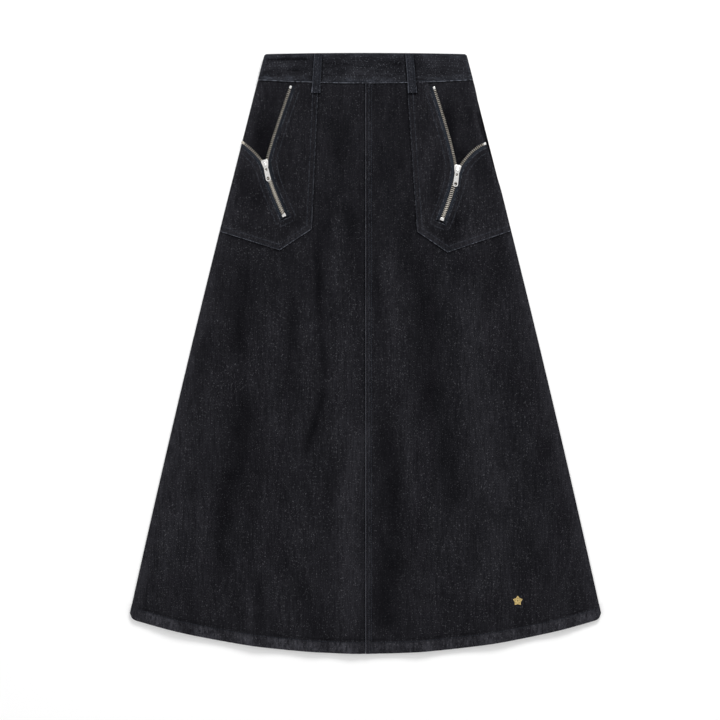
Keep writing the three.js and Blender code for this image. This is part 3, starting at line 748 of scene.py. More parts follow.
def frontGore(sideName):
    side = 1 if sideName == "left" else -1
    nearCentre = np.array([seamGap / 2, 1.2, 2.6, 4.4, 6.6, 8.6, fellWidth, fellWidth + 1, fellWidth + 3])
    x, y = goreGrid(side, frontHalf, nearCentre, 3.0, 4.0, hemUps)
    extra = fellExtra * smooth(fellWidth + 1 - np.abs(x)) if side > 0 else 0
    under = frontUnder(x, y)
    crest = 0.35 * fall(np.abs(x) / 4) if side > 0 else 0
    over = under + denim + turnedHem(x, y) + extra + crest + hemPucker(x, y)
    # Painted shade and light of the folds, creases and ripples: paler on their ridges and darker in their troughs, with
    # some real fading on the ridges
    lift = 0.04 * foldHeight(x, y) + 0.2 * creaseHeight(x, y, frontCreases) + 0.4 * ripple(x, y)
    piece = shell(
        f"front_gore_cloth_{sideName}", x, y, under, over, denimBody, side < 0,
        goreValues(x, y, lift, side, side > 0, True), node=f"front_gore_{sideName}",
    )


def backGore(sideName):
    side = 1 if sideName == "left" else -1
    nearCentre = np.array([seamGap / 2, 1.2, 3, 6, 9, fellWidth, fellWidth + 1, fellWidth + 4])
    x, y = goreGrid(side, backHalf, nearCentre, 5.0, 6.5, hemUps)
    y[-1] = y[-1] + 1.5
    # Painted shade and light of the back's creases, paler on their ridges
    lift = creaseHeight(x, y, backCreases)
    piece = shell(
        f"back_gore_cloth_{sideName}", x, y, backLift(x, y), backTop(x, y), denimBody, side < 0,
        goreValues(x, y, lift * 0.5, side, side > 0, False), node=f"back_gore_{sideName}",
    )


for sideName in ("right", "left"):
    frontGore(sideName)
    backGore(sideName)
print("gores made")


bandShares = [
    0, 0.012, 0.035, 0.06, 0.09, 0.13, 0.2, 0.28, 0.36, 0.44, 0.52, 0.6, 0.68, 0.76, 0.83, 0.89, 0.93, 0.965, 0.99, 1,
]


def bandGrid(margin, columns):
    xs, ys = [], []
    f = np.linspace(-1, 1, columns)
    for v in bandShares:
        y = lerp(topY(f) - margin, seamY(f) + seamGap / 2, v)
        corner = 2.2 * fall(v / 0.06)
        xs.append(f * (halfWidth(y) - margin - corner))
        ys.append(y)
    return np.array(xs), np.array(ys)


bandCreases = [
    (-166, 456.5, -84, 459, 1.5, 1.2, -0.62),
    (-66, 453, -22, 451, -1, 1.6, -0.45),
    (-168, 434, -128, 435, -1, 1.2, -0.58),
    (-126, 441, -92, 437, 2, 1.5, -0.42),
    (-160, 446, -116, 448, 1, 3.4, 0.3),
    (-112, 429, -86, 433, 1, 2.6, 0.28),
    (-20, 436, 14, 440, -1, 2.6, 0.3),
    (22, 454, 62, 450, 1, 2.2, -0.28),
    (84, 440, 128, 436, 1, 2.4, -0.25),
    (96, 455, 150, 457, -1, 2.6, 0.28),
    (112, 430, 160, 437, -1, 2.6, 0.28),
]

# Pale puckers above the waist seam and below the top edge: middle, half width and strength
seamPuckers = [
    (-150, 14, 0.9), (-118, 7, 1.0), (-96, 5, 0.5), (-58, 6, 0.4), (-25, 12, 0.7), (8, 9, 0.8), (34, 12, 0.6),
    (112, 14, 0.5), (146, 9, 0.9),
]
topPuckers = [
    (-146, 12, 0.9), (-105, 16, 0.5), (-62, 8, 0.4), (-8, 16, 0.45), (48, 12, 0.4), (92, 12, 0.6), (140, 16, 0.8),
]
# Painted shade and light of the waistband, the dark ones beside the belt loops: middle, reach across and along, and
# strength
bandShades = [
    (-158, 447, 16, 6, 0.24), (-118, 450, 26, 5, 0.16), (-150, 430, 18, 4, 0.12), (-40, 446, 18, 6, -0.12),
    (-8, 440, 16, 7, 0.14), (34, 449, 18, 6, -0.12), (112, 446, 16, 7, 0.1), (148, 444, 12, 9, 0.18),
    (-92, 445, 9, 12, -0.16), (-64, 447, 5, 14, -0.22), (52, 446, 8, 12, -0.14), (84, 447, 6, 14, -0.2),
]
# How pale the waistband is, and how much its painted crease, ripple and belt-loop shading and its worn roping change it
bandTone = {"all": 0.44, "crease": 0.9, "ripple": 0.5, "rope": 0.2, "loops": 0.55}
bandRope = {"top": 0.8, "seam": 0.75, "side": 0.5}


def bandValues(x, y):
    f = x / halfWidth(y)
    fromSeam = y - seamY(f)
    high = bandRope["top"] * patchesAt(x, topPuckers) * fall(np.abs(topY(f) - y - 3) / 6)
    low = bandRope["seam"] * patchesAt(x, seamPuckers) * fall(np.abs(fromSeam - 4) / 7)
    rope = np.maximum.reduce([high, low, bandRope["side"] * fall((halfWidth(y) - np.abs(x)) / 8)])
    fade = bandTone["all"] + bandTone["crease"] * creaseHeight(x, y, bandCreases)
    fade = fade + bandTone["ripple"] * ripple(x * 2.0, y * 3.0) + bandTone["rope"] * rope
    fade = fade + shadeAt(x, y, bandShades) - bandTone["loops"] * loopShadow(x, y)
    return {"fade": np.clip(fade, 0, 1), "rope": rope, "edge": np.clip(fromSeam - 0.1, 0, farEdge)}


def waistband():
    x, y = bandGrid(0, 150)
    under = bandUnder(x)
    f = x / halfWidth(y)
    nearTop = smooth((topY(f) - y) / 1.6)
    nearSeam = smooth((y - seamY(f)) / 1.6)
    pucker = 0.16 * np.sin(x * 0.62 + 1.5 * np.sin(x * 0.05)) * fall(np.abs(y - seamY(f) - 2) / 6)
    over = under + bandThick - 0.5 * (1 - nearTop) - 0.5 * (1 - nearSeam) + creaseHeight(x, y, bandCreases) + pucker
    front = shell(
        "waistband_front_cloth", x, y, under, over, denimBand, False, bandValues(x, y), node="waistband_front"
    )
    x, y = bandGrid(0.8, 80)
    under = np.full_like(x, backBandUnder)
    over = under + bandThick
    back = shell(
        "waistband_back_cloth", x, y, under, over, denimBand, False, bandValues(x, y), node="waistband_back"
    )


waistband()
print("waistband made")

# Pockets


def resample(line, step):
    line = np.asarray(line, dtype=float)
    total = stepsAlong(line)
    count = max(2, int(round(total[-1] / step)) + 1)
    marks = np.linspace(0, total[-1], count)
    return np.stack([np.interp(marks, total, line[:, k]) for k in (0, 1)], 1)


def pocketEdges(model):
    side, pocket = model["side"], model["pocket"]
    lines = {}
    for key, clothSide in model["branches"]:
        line, tangent = bezier(model[key], 30)
        lines[key] = line + leftOf(tangent) * clothSide * foldFromTeeth
    line, tangent = extended(*bezier(model["closed"], 24), windowPastStop)
    for key, way in (("windowInner", -side), ("windowOuter", side)):
        lines[key] = (line + leftOf(tangent) * way * foldFromChain)[8:]
    outer = lines["outer"]
    keep = [k for k, (x, y) in enumerate(outer) if abs(x) < abs(float(model["edgeX"](outer[-1][1]))) - 1]
    lines["outer"] = outer[: keep[-1] + 1]
    sideTop = lerp(lines["outer"][-1][1], outer[-1][1], 0.6)
    rows = np.linspace(pocket["sideFootY"], sideTop, 9)
    lines["side"] = np.stack([model["edgeX"](rows), rows], 1)
    return lines


def seamLine(x):
    return seamY(x / halfWidth(half - bandHeight)) - seamGap / 2


def pocketOutline(model):
    lines = pocketEdges(model)
    side, pocket = model["side"], model["pocket"]
    top = lines["inner"][-1]
    topX = top[0] + (seamLine(top[0]) - top[1]) * 0.3 * -side
    parts = [
        [(topX, seamLine(topX)), (pocket["innerTop"][0], seamLine(pocket["innerTop"][0]))],
        [pocket["innerFoot"]], [pocket["point"]], lines["side"], lines["outer"][::-1],
        lines["windowOuter"], lines["windowInner"][::-1], lines["inner"],
    ]
    outline = np.vstack([np.array(part, dtype=float) for part in parts])
    closed = np.vstack([outline, outline[:1]])
    dense = [resample(closed[k : k + 2], 3.0)[:-1] for k in range(len(outline))]
    return np.vstack(dense), lines


def insidePolygon(x, y, outline):
    inside = np.zeros(x.shape, dtype=bool)
    for (ax, ay), (bx, by) in zip(outline, np.roll(outline, -1, axis=0)):
        crosses = (ay > y) != (by > y)
        with np.errstate(divide="ignore", invalid="ignore"):
            at = (bx - ax) * (y - ay) / (by - ay) + ax
        inside ^= crosses & (x < at)
    return inside


def patchShell(name, outline, spacing, under, over, material, values, **facts):
    low, high = outline.min(0), outline.max(0)
    gx, gy = np.meshgrid(np.arange(low[0], high[0], spacing), np.arange(low[1], high[1], spacing))
    gx, gy = gx.ravel(), gy.ravel()
    closed = np.vstack([outline, outline[:1]])
    keep = insidePolygon(gx, gy, outline) & (distanceToLine(gx, gy, closed) > spacing * 0.45)
    places = np.vstack([outline, np.stack([gx[keep], gy[keep]], 1)])
    ring = list(range(len(outline)))
    found = delaunay_2d_cdt([Vector(p) for p in places], [], [ring], 1, 1e-5)
    points = np.array([tuple(p) for p in found[0]])
    triangles = np.array(found[2])
    a, b, c = (points[triangles[:, k]] for k in range(3))
    turned = ((b - a)[:, 0] * (c - a)[:, 1] - (b - a)[:, 1] * (c - a)[:, 0]) < 0
    triangles[turned] = triangles[turned][:, ::-1]
    edges = {}
    for i, j, k in triangles:
        for pair in ((i, j), (j, k), (k, i)):
            edges[pair] = True
    border = [pair for pair in edges if (pair[1], pair[0]) not in edges]
    x, y = points[:, 0], points[:, 1]
    count = len(points)
    solid = np.vstack([np.stack([x, y, over(x, y)], 1), np.stack([x, y, under(x, y)], 1)])
    faces = triangles.tolist() + (triangles[:, ::-1] + count).tolist()
    faces += [(j, i, i + count, j + count) for i, j in border]
    both = {key: np.concatenate([column, column]) for key, column in values(x, y).items()}
    return finishMesh(name, solid, faces, material, values=both, **facts)


# How pale the pockets are: worn rows by the zips and the foot, paler near the side edges partly as wear and partly as
# painted light, painted shade and light of ripples, and painted shadow of the belt loops and the side gap
pocketTone = {"all": 0.41, "rows": 0.2, "side": 0.14, "ripple": 0.7, "loops": 0.55, "gap": 0.8}

# Turned-in edges of a pocket: how far in they reach, how much they add, and what the rounded rim takes off
turnIn = {"reach": 9, "zip": 0.45, "sewn": 0.4, "zipRim": 0.3, "sewnRim": 0.25}


def zipEdgeOf(lines):
    return np.vstack([lines["outer"][::-1], lines["windowOuter"], lines["windowInner"][::-1], lines["inner"]])


def pocketTop(model, zipEdge, x, y):
    fromZip = distanceToLine(x, y, zipEdge)
    fromSewn = distanceToLine(x, y, model["sewn"])
    turned = turnIn["zip"] * fall((fromZip - turnIn["reach"]) / 1.6)
    turned = turned + turnIn["sewn"] * fall((fromSewn - turnIn["reach"]) / 2)
    rounded = turnIn["zipRim"] * fall(fromZip / 1.5) + turnIn["sewnRim"] * fall(fromSewn / 1.5)
    return model["pocketUnder"](x, y) + denim + turned - rounded + 0.5 * ripple(x * 2.2, y * 2.2)


def pocketPatch(model):
    outline, lines = pocketOutline(model)
    zipEdge = zipEdgeOf(lines)

    def over(x, y):
        return pocketTop(model, zipEdge, x, y)

    def values(x, y):
        toSewn, toFoot = (distanceToLine(x, y, model["sewn"][first:4]) for first in (0, 1))
        toZip = distanceToLine(x, y, zipEdge)
        rows = np.maximum(0.08 * fall((toZip - 7) / 4), 0.2 * fall((toFoot - 9) / 5))
        sides = fall((halfWidth(y) - np.abs(x)) / 14)
        fade = pocketTone["all"] + pocketTone["rows"] * rows + pocketTone["side"] * sides
        fade = fade + pocketTone["ripple"] * ripple(x * 1.5, y * 1.5) + shadeAt(x, y, pocketShades)
        fade = fade - pocketTone["loops"] * loopShadow(x, y) - pocketTone["gap"] * sideGapShade(x, y, 1.4)
        edge = np.minimum(np.minimum(toFoot, toSewn + 0.45), toZip + 0.3)
        return {"fade": np.clip(fade, 0, 1), "rope": np.maximum(rows, 0.3 * sides), "edge": edge}

    name = model["name"]
    piece = patchShell(
        f"pocket_cloth_{name}", outline, 3.2, model["pocketUnder"], over, denimBody, values, node=f"pocket_{name}"
    )
    return lines


def strip(name, line, across, wide, middle, **facts):
    offsets = np.linspace(0, wide, 7)
    x, y = (np.stack([line[:, k] + across[:, k] * o for o in offsets], 1) for k in (0, 1))
    reach = halfWidth(y) - 1.0
    x = np.clip(x, -reach, reach)
    z = middle(x, y)
    along = stepsAlong(line)[:, None]
    rib = 0.06 * np.sin(along * 2.4) * np.ones_like(x)
    facing = (x[1, 0] - x[0, 0]) * (y[0, 1] - y[0, 0]) - (y[1, 0] - y[0, 0]) * (x[0, 1] - x[0, 0])
    under, over = z - tapeThick / 2, z + tapeThick / 2 + rib
    return shell(name, x, y, under, over, tapeCloth, facing < 0, None, slotName="zip_tape", **facts)


# Woven cords of each tape, by their distance from the teeth
cordRows = {
    "inner_right": (0.9,), "outer_right": (0.8, 1.8, 2.8), "inner_left": (0.9, 2.3, 3.7), "outer_left": (0.9, 2.1, 3.3),
}


def zipTape(model, branch, clothSide):
    line, tangent = bezier(model[branch], 60)
    line, tangent = extended(line, tangent, 4 if branch == "inner" else 0.5)
    shut, shutTangent = extended(*bezier(model["closed"], 48), 4)
    normal = leftOf(tangent) * clothSide
    shutNormal = leftOf(shutTangent) * -clothSide
    openPath = (line + normal * (beadWidth / 2 + seamGap))[::-1]
    path = np.vstack([openPath, (shut + shutNormal * (chainWidth / 2 + seamGap))[5:]])
    across = np.vstack([normal[::-1], shutNormal[5:]])
    name = model["name"]
    wide = tapeWidth - chainWidth / 2 - seamGap
    piece = strip(
        f"zip_tape_cloth_{branch}_{name}", path, across, wide, model["zipMiddle"], node=f"zip_tape_{branch}_{name}"
    )
    long = float(stepsAlong(path)[-1]) * mm
    for distance in cordRows[f"{branch}_{name}"]:
        cord = lifted(path + across * distance, lambda x, y: model["zipMiddle"](x, y) + 0.5)
        zipCords.setdefault(name, []).append(cord[3:-3])


# Repeats along a line, such as teeth and stitches


def makeRepeatGroup():
    tree = bpy.data.node_groups.new("repeatAlong", "GeometryNodeTree")
    for name, kind in (
        ("Geometry", "Geometry"), ("Unit", "Object"), ("Pitch", "Float"), ("Unevenness", "Float"),
        ("Seed", "Int"), ("Material", "Material"),
    ):
        tree.interface.new_socket(name, in_out="INPUT", socket_type="NodeSocket" + kind)
    tree.interface.new_socket("Geometry", in_out="OUTPUT", socket_type="NodeSocketGeometry")
    given = addNode(tree, "NodeGroupInput").outputs
    curve = addNode(tree, "GeometryNodeMeshToCurve")
    resampled = addNode(tree, "GeometryNodeResampleCurve", mode="LENGTH")
    tangent = addNode(tree, "GeometryNodeInputTangent")
    aligned = addNode(tree, "FunctionNodeAlignRotationToVector", axis="X", pivot_axis="Z")
    unit = addNode(tree, "GeometryNodeObjectInfo")
    less = calc(tree, "SUBTRACT", 1, given["Unevenness"])
    more = calc(tree, "ADD", 1, given["Unevenness"])
    size = addNode(tree, "FunctionNodeRandomValue", data_type="FLOAT")
    instances = addNode(tree, "GeometryNodeInstanceOnPoints")
    real = addNode(tree, "GeometryNodeRealizeInstances")
    dressed = addNode(tree, "GeometryNodeSetMaterial")
    end = addNode(tree, "NodeGroupOutput")
    sizeIn = {socket.identifier: socket for socket in size.inputs}
    sizeOut = next(socket for socket in size.outputs if socket.enabled and socket.type == "VALUE")
    for source, target in (
        (given["Geometry"], curve.inputs[0]),
        (curve.outputs[0], resampled.inputs["Curve"]),
        (given["Pitch"], resampled.inputs["Length"]),
        (tangent.outputs[0], aligned.inputs["Vector"]),
        (given["Unit"], unit.inputs[0]),
        (less, sizeIn["Min_001"]),
        (more, sizeIn["Max_001"]),
        (given["Seed"], size.inputs["Seed"]),
        (resampled.outputs[0], instances.inputs["Points"]),
        (unit.outputs["Geometry"], instances.inputs["Instance"]),
        (aligned.outputs[0], instances.inputs["Rotation"]),
        (sizeOut, instances.inputs["Scale"]),
        (instances.outputs[0], real.inputs[0]),
        (real.outputs[0], dressed.inputs["Geometry"]),
        (given["Material"], dressed.inputs["Material"]),
        (dressed.outputs[0], end.inputs[0]),
    ):
        tree.links.new(source, target)
    return tree


repeatGroup = makeRepeatGroup()


def evaluated(holder):
    graph = bpy.context.evaluated_depsgraph_get()
    graph.update()
    return bpy.data.meshes.new_from_object(holder.evaluated_get(graph))


def repeatAlong(name, lines, unit, pitch, unevenness, seed, material, node=None):
    points, edges = [], []
    for line in lines:
        first = len(points)
        points += (np.asarray(line) * mm).tolist()
        edges += [(k, k + 1) for k in range(first, len(points) - 1)]
    path = bpy.data.meshes.new(name + "_path")
    path.from_pydata(points, edges, [])
    holder = newObject(name + "_path", path)
    modifier = holder.modifiers.new("repeat", "NODES")
    modifier.node_group = repeatGroup
    given = {item.name: item.identifier for item in repeatGroup.interface.items_tree if item.in_out == "INPUT"}
    for key, value in (
        ("Unit", unit), ("Pitch", pitch * mm), ("Unevenness", unevenness), ("Seed", seed), ("Material", material),
    ):
        modifier[given[key]] = value
    mesh = evaluated(holder)
    bpy.data.objects.remove(holder)
    mesh.name = name
    return placeMesh(name, mesh, material, node)


def unitObject(name, build):
    mesh = bpy.data.meshes.new(name)
    form = bmesh.new()
    build(form)
    bmesh.ops.scale(form, vec=(mm, mm, mm), verts=form.verts)
    form.to_mesh(mesh)
    form.free()
    smoothMesh(mesh, 40)
    return newObject(name, mesh)


def stitchForm(form):
    bmesh.ops.create_uvsphere(form, u_segments=6, v_segments=4, radius=1)
    bmesh.ops.rotate(form, verts=form.verts, matrix=Matrix.Rotation(math.pi / 2, 3, "Y"))
    bmesh.ops.scale(form, vec=(1.4, 0.3, 0.28), verts=form.verts)


tooth = {"closed": 1.3, "open": 1.15, "deep": 4.1, "thick": 2.1, "tipWidth": 0.72, "tipThick": 0.82, "bevel": 0.24}


def toothForm(reach, wide):
    def build(form):
        bmesh.ops.create_cube(form, size=1)
        bmesh.ops.scale(form, vec=(wide, tooth["deep"], tooth["thick"]), verts=form.verts)
        for vertex in form.verts:
            if vertex.co.y * reach > 0:
                vertex.co.x *= tooth["tipWidth"]
                vertex.co.z *= tooth["tipThick"]
        bmesh.ops.bevel(form, geom=form.edges[:], offset=tooth["bevel"], segments=1, profile=0.6, affect="EDGES")
    return build


stitchUnit = unitObject("stitch_unit", stitchForm)
toothLeft = unitObject("tooth_unit_left", toothForm(1, tooth["closed"]))
toothRight = unitObject("tooth_unit_right", toothForm(-1, tooth["closed"]))
openLeft = unitObject("tooth_open_left", toothForm(1, tooth["open"]))
openRight = unitObject("tooth_open_right", toothForm(-1, tooth["open"]))
toothPitch = 3.0
chainReach = 0.95  # from the middle of the closed chain to each of its two rows


def shortened(line, cut):
    steps = stepsAlong(line)
    return line[steps < steps[-1] - cut]


def lifted(line, height):
    return np.column_stack([line, height(line[:, 0], line[:, 1])])


def zipTeeth(model):
    name = model["name"]
    cut = stopLength / 2 + 0.9
    for branch, clothSide in model["branches"]:
        line = shortened(bezier(model[branch], 90)[0][4:], cut)
        unit = openRight if clothSide > 0 else openLeft
        repeatAlong(
            f"zip_teeth_metal_{branch}_{name}", [lifted(line, model["zipMiddle"])], unit, toothPitch, 0.02, 3,
            teethMetal, f"zip_teeth_{branch}_{name}",
        )
    line, tangent = bezier(model["closed"], 200)
    normal = leftOf(tangent)
    for key, sign, offset, unit, node in (
        ("a", 1, 0, toothRight, f"zip_teeth_closed_{name}"), ("b", -1, toothPitch / 2, toothLeft, None),
    ):
        row = shortened((line + normal * sign * chainReach)[4:], cut + offset)
        row = lifted(row[stepsAlong(row) >= offset], model["zipMiddle"])
        repeatAlong(f"zip_chain_{key}_{name}", [row], unit, toothPitch, 0.02, 5, chainMetal, node)


def outlineSolid(name, outline, holes, thick, bevel, place):
    curve = bpy.data.curves.new(name, "CURVE")
    curve.dimensions = "2D"
    curve.fill_mode = "BOTH"
    curve.extrude = (thick / 2 - bevel) * mm
    curve.bevel_depth = bevel * mm
    curve.bevel_resolution = 2
    curve.offset = -bevel * mm
    for ring in [outline] + holes:
        spline = curve.splines.new("POLY")
        spline.points.add(len(ring) - 1)
        for point, (x, y) in zip(spline.points, ring):
            point.co = (x * mm, y * mm, 0, 1)
        spline.use_cyclic_u = True
    holder = newObject(name + "_curve", curve)
    mesh = evaluated(holder)
    bpy.data.objects.remove(holder)
    form = bmesh.new()
    form.from_mesh(mesh)
    bmesh.ops.remove_doubles(form, verts=form.verts, dist=1e-6)
    bmesh.ops.recalc_face_normals(form, faces=form.faces)
    bmesh.ops.transform(form, matrix=place, verts=form.verts)
    form.to_mesh(mesh)
    form.free()
    return mesh


def joined(name, meshes, material, node, body="skirt"):
    form = bmesh.new()
    for mesh in meshes:
        form.from_mesh(mesh)
        bpy.data.meshes.remove(mesh)
    whole = bpy.data.meshes.new(name)
    form.to_mesh(whole)
    form.free()
    smoothMesh(whole, 35)
    placeMesh(name, whole, material, node, body)


def arcPoints(cx, cy, rx, ry, start, end, count):
    return [
        (cx + rx * math.cos(a), cy + ry * math.sin(a))
        for a in np.linspace(math.radians(start), math.radians(end), count)
    ]


def placeOnZip(model, point, direction):
    x, y = point
    z = float(model["zipMiddle"](x, y))
    turn = math.atan2(direction[1], direction[0])
    return Matrix.Translation(Vector((x, y, z)) * mm) @ Matrix.Rotation(turn, 4, "Z")


plate = {"mouth": 11.0, "tail": 7.6, "front": -6.5, "back": 6.0, "thick": 1.0, "inside": 1.25}
crown = {"width": 1.8, "front": -5.2, "back": 3.4, "foot": 1.2, "frontTop": 3.5, "backTop": 5.2, "wall": 0.8}


def slider(model):
    place = placeOnZip(model, model["middle"], model["along"])
    name = model["name"]
    mouth, tail = plate["mouth"] / 2, plate["tail"] / 2
    front, back = plate["front"], plate["back"]
    upper = [
        (front, -mouth + 1.7), (front + 0.5, -mouth + 0.6), (front + 1.6, -mouth), (front + 3.6, -mouth),
        (back - 1.0, -tail), (back - 0.2, -tail + 0.5), (back, -tail + 1.3),
    ]
    around = upper + [(x, -y) for x, y in reversed(upper)]
    meshes = []
    for z, thick in ((plate["inside"] + plate["thick"] / 2, plate["thick"]), (-plate["inside"] - 0.4, 0.8)):
        lift = Matrix.Translation((0, 0, z * mm))
        meshes.append(outlineSolid("plate", around, [], thick, 0.22, place @ lift))
    for sign in (1, -1):
        inner = ((-4.2, mouth - 0.75), (5.4, tail - 0.75))
        flange = [(x, sign * y) for x, y in inner + ((5.4, tail), (-4.2, mouth))][::sign]
        lift = Matrix.Translation((0, 0, 1.0 * mm))
        meshes.append(outlineSolid("flange", flange, [], 0.6, 0.12, place @ lift))
    base = plate["inside"] + plate["thick"] - 0.2
    front, back, frontTopZ, backTopZ = (crown[key] for key in ("front", "back", "frontTop", "backTop"))
    profile = [
        (front, base), (back, base), (back, backTopZ - 0.9), (back - 0.35, backTopZ - 0.25),
        (back - 0.9, backTopZ), (front + 1.4, frontTopZ + 0.1), (front + 0.5, frontTopZ - 0.3),
    ]
    eyeFront, eyeBack = front + crown["foot"] + 0.8, back - crown["foot"]
    eye = [
        (eyeFront, base + 0.15), (eyeBack, base + 0.15), (eyeBack, backTopZ - crown["wall"]),
        (eyeFront, frontTopZ - crown["wall"] + 0.45),
    ]
    stand = Matrix.Rotation(math.pi / 2, 4, "X")
    meshes.append(outlineSolid("crown", profile, [eye[::-1]], crown["width"], 0.2, place @ stand))
    joined(f"zip_slider_metal_{name}", meshes, zipMetal, f"zip_slider_{name}")


pull = {"length": 26.8, "neck": 6.6, "end": 7.8, "thick": 1.2, "slotEnd": 3.6, "slotWidth": 2.5}
pullDrop = 3  # degrees by which the pull's end hangs down


def pullTab(model):
    name = model["name"]
    lean = Matrix.Rotation(math.radians(pullDrop), 4, "Y")
    swing = Matrix.Translation((pivot["x"] * mm, 0, pivot["z"] * mm)) @ lean
    place = placeOnZip(model, model["middle"], model["along"]) @ swing
    neck, end, long = pull["neck"] / 2, pull["end"] / 2, pull["length"]
    outline = [(-0.45, -neck + 0.5), (0.1, -neck)]
    outline += [(pull["slotEnd"] + 2.4, -neck), (pull["slotEnd"] + 4.2, -neck - 0.25)]
    outline += arcPoints(long - end, 0, end, end, -90, 90, 19)
    outline += [(pull["slotEnd"] + 4.2, neck + 0.25), (pull["slotEnd"] + 2.4, neck), (0.1, neck), (-0.45, neck - 0.5)]
    slotHalf = pull["slotWidth"] / 2
    slotHole = arcPoints(0.62 + 0.5, slotHalf - 0.5, 0.5, 0.5, 180, 90, 4) + [(pull["slotEnd"], slotHalf)]
    slotHole += [(pull["slotEnd"], -slotHalf)] + arcPoints(0.62 + 0.5, -slotHalf + 0.5, 0.5, 0.5, 270, 180, 4)
    eye = arcPoints(long - 4.7, 0, 2.8, 2.4, 360, 20, 18)
    small = arcPoints(pull["slotEnd"] + 4.2, 0, 2.05, 1.85, 360, 30, 12)
    mesh = outlineSolid("tab", outline, [slotHole, eye, small], pull["thick"], 0.2, place)
    joined(f"zip_pull_metal_{name}", [mesh], zipMetal, f"zip_pull_{name}", f"pull_{name}")


# The stop at the right side edge is duller than the others
stopMetals = {("outer", "right"): teethMetal}


def zipStops(model):
    name = model["name"]
    for branch, wide in (("inner", beadWidth), ("outer", beadWidth), ("closed", chainWidth)):
        line, tangent = bezier(model[branch], 12)
        place = placeOnZip(model, line[-1], tangent[-1])
        across, along = (wide + 0.4) / 2, stopLength / 2
        edge = [(-along, -across + 0.5), (-along + 0.5, -across), (along - 0.5, -across), (along, -across + 0.5)]
        box = edge + [(x, -y) for x, y in reversed(edge)]
        metal = stopMetals.get((branch, name), zipMetal)
        mesh = outlineSolid("stop", box, [], 2.4, 0.4, place)
        joined(f"zip_stop_metal_{branch}_{name}", [mesh], metal, f"zip_stop_{branch}_{name}")


pocketLines, zipCords = {}, {}
for model in models:
    pocketLines[model["name"]] = pocketPatch(model)
    for branch, clothSide in model["branches"]:
        zipTape(model, branch, clothSide)
    zipTeeth(model)
    zipStops(model)
    slider(model)
    pullTab(model)
print("pockets and zips made")

# Belt loops
frontLoopThick = 1.8
backLoops = {"back_right": -124.0, "back_centre": 0.0, "back_left": 124.0}


def clothTop(x, y):
    if y > float(seamY(x / halfWidth(y))) - 1:
        return float(bandUnder(np.array(x))) + bandThick
    model = models[1] if x > 0 else models[0]
    (ax, ay), (bx, by) = model["pocket"]["innerTop"], model["pocket"]["innerFoot"]
    edge = lerp(ax, bx, (ay - y) / (ay - by))
    if abs(x) > abs(edge) - 2:
        return float(model["pocketUnder"](np.array(x), np.array(y))) + denim
    return float(frontTop(np.array(x), np.array(y)))


def loopValues(x, y):
    across = (x - x.mean(axis=1, keepdims=True)) / (loopWidth / 2)
    column = np.abs(across)
    edge = (1 - column) * loopWidth / 2 + 0.35 + 0.5 * (across > 0)
    # Painted shade in the groove along each stitched side of the loop
    grooveShade = 0.34 * bell((column - 0.66) / 0.15)
    rope = 0.5 * smooth((column - 0.7) / 0.25) * (1 - 0.4 * (across > 0))
    return {"fade": 0.54 + 0.06 * column - grooveShade, "rope": rope, "edge": edge}


def loopShape(x, z, thick):
    column = (x - x.mean(axis=1, keepdims=True)) / (loopWidth / 2)
    return z + thick - 0.35 * smooth((np.abs(column) - 0.8) / 0.2) - 0.12 * bell(column / 0.3)


loopColumns = np.linspace(-1, 1, 13) * loopWidth / 2


def frontLoop(key, topX, footX):
    topEdge = half - 1.2
    steps = np.linspace(0, 1, 16)
    heights = []
    for t in steps:
        y = lerp(topEdge, loopFootY, t)
        x = lerp(topX, footX, t)
        beneath = [
            clothTop(x + i * loopWidth / 2, min(topEdge, y + k)) for i in (-1, 0, 1) for k in (-5, 0, 5)
        ]
        arch = 0.9 * math.sin(math.pi * min(1, t / 0.78)) ** 0.8 if t < 0.78 else 0
        heights.append(max(beneath) + seamGap + arch)
    t = np.linspace(0, 1, 46)
    x = lerp(topX, footX, t)[:, None] + loopColumns[None, :] * (1 + 0.11 * smooth((t - 0.7) / 0.25))[:, None]
    y = np.repeat(lerp(topEdge, loopFootY, t)[:, None], len(loopColumns), 1)
    z = np.repeat(np.interp(t, steps, heights)[:, None], len(loopColumns), 1)
    over = loopShape(x, z, frontLoopThick)
    piece = shell(
        f"belt_loop_cloth_{key}", x, y, z, over, denimLoop, False, loopValues(x, y), node=f"belt_loop_{key}"
    )
    inset = [x.mean(axis=1) + s * (loopWidth / 2 - 1.6) for s in (-1, 1)]
    return [np.column_stack([xs, y[:, 0], over[:, 1] + 0.05])[1:-1] for xs in inset]


def backLoop(key, middle):
    t = np.linspace(0, 1, 30)
    x = middle + np.repeat(loopColumns[None, :], len(t), 0)
    y = np.repeat(lerp(half - 3.6, loopFootY, t)[:, None], len(loopColumns), 1)
    z = np.zeros_like(x)
    piece = shell(
        f"belt_loop_cloth_{key}", x, y, z, z + loopThick, denimLoop, False, loopValues(x, y), node=f"belt_loop_{key}"
    )


loopRows = []
for key, (topX, footX) in frontLoops.items():
    loopRows += frontLoop(key, topX, footX)
for key, middle in backLoops.items():
    backLoop(key, middle)


def sideZipTape():
    y = np.linspace(sideZip["topY"], sideZip["footY"], 70)
    outer = halfWidth(y) - 1.2
    shares = np.linspace(0, 1, 9)
    x = outer[:, None] - sideZip["width"] * (1 - shares[None, :])
    rows = np.repeat(y[:, None], len(shares), 1)
    under = backTop(outer[:, None] * np.ones_like(x), rows) + seamGap
    coil = 0.3 * bell((shares[None, :] - 0.55) / 0.14) * (0.8 + 0.2 * np.sin(rows * 3.2))
    piece = shell(
        "side_zip_cloth", x, rows, under, under + 0.9 + coil, tapePaintedShade, False, None, node="side_zip_tape",
        slotName="zip_tape",
    )


sideZipTape()
print("loops and side zip made")

# Sewing thread
stitchPitch = 3.3
threadLift = 0.08


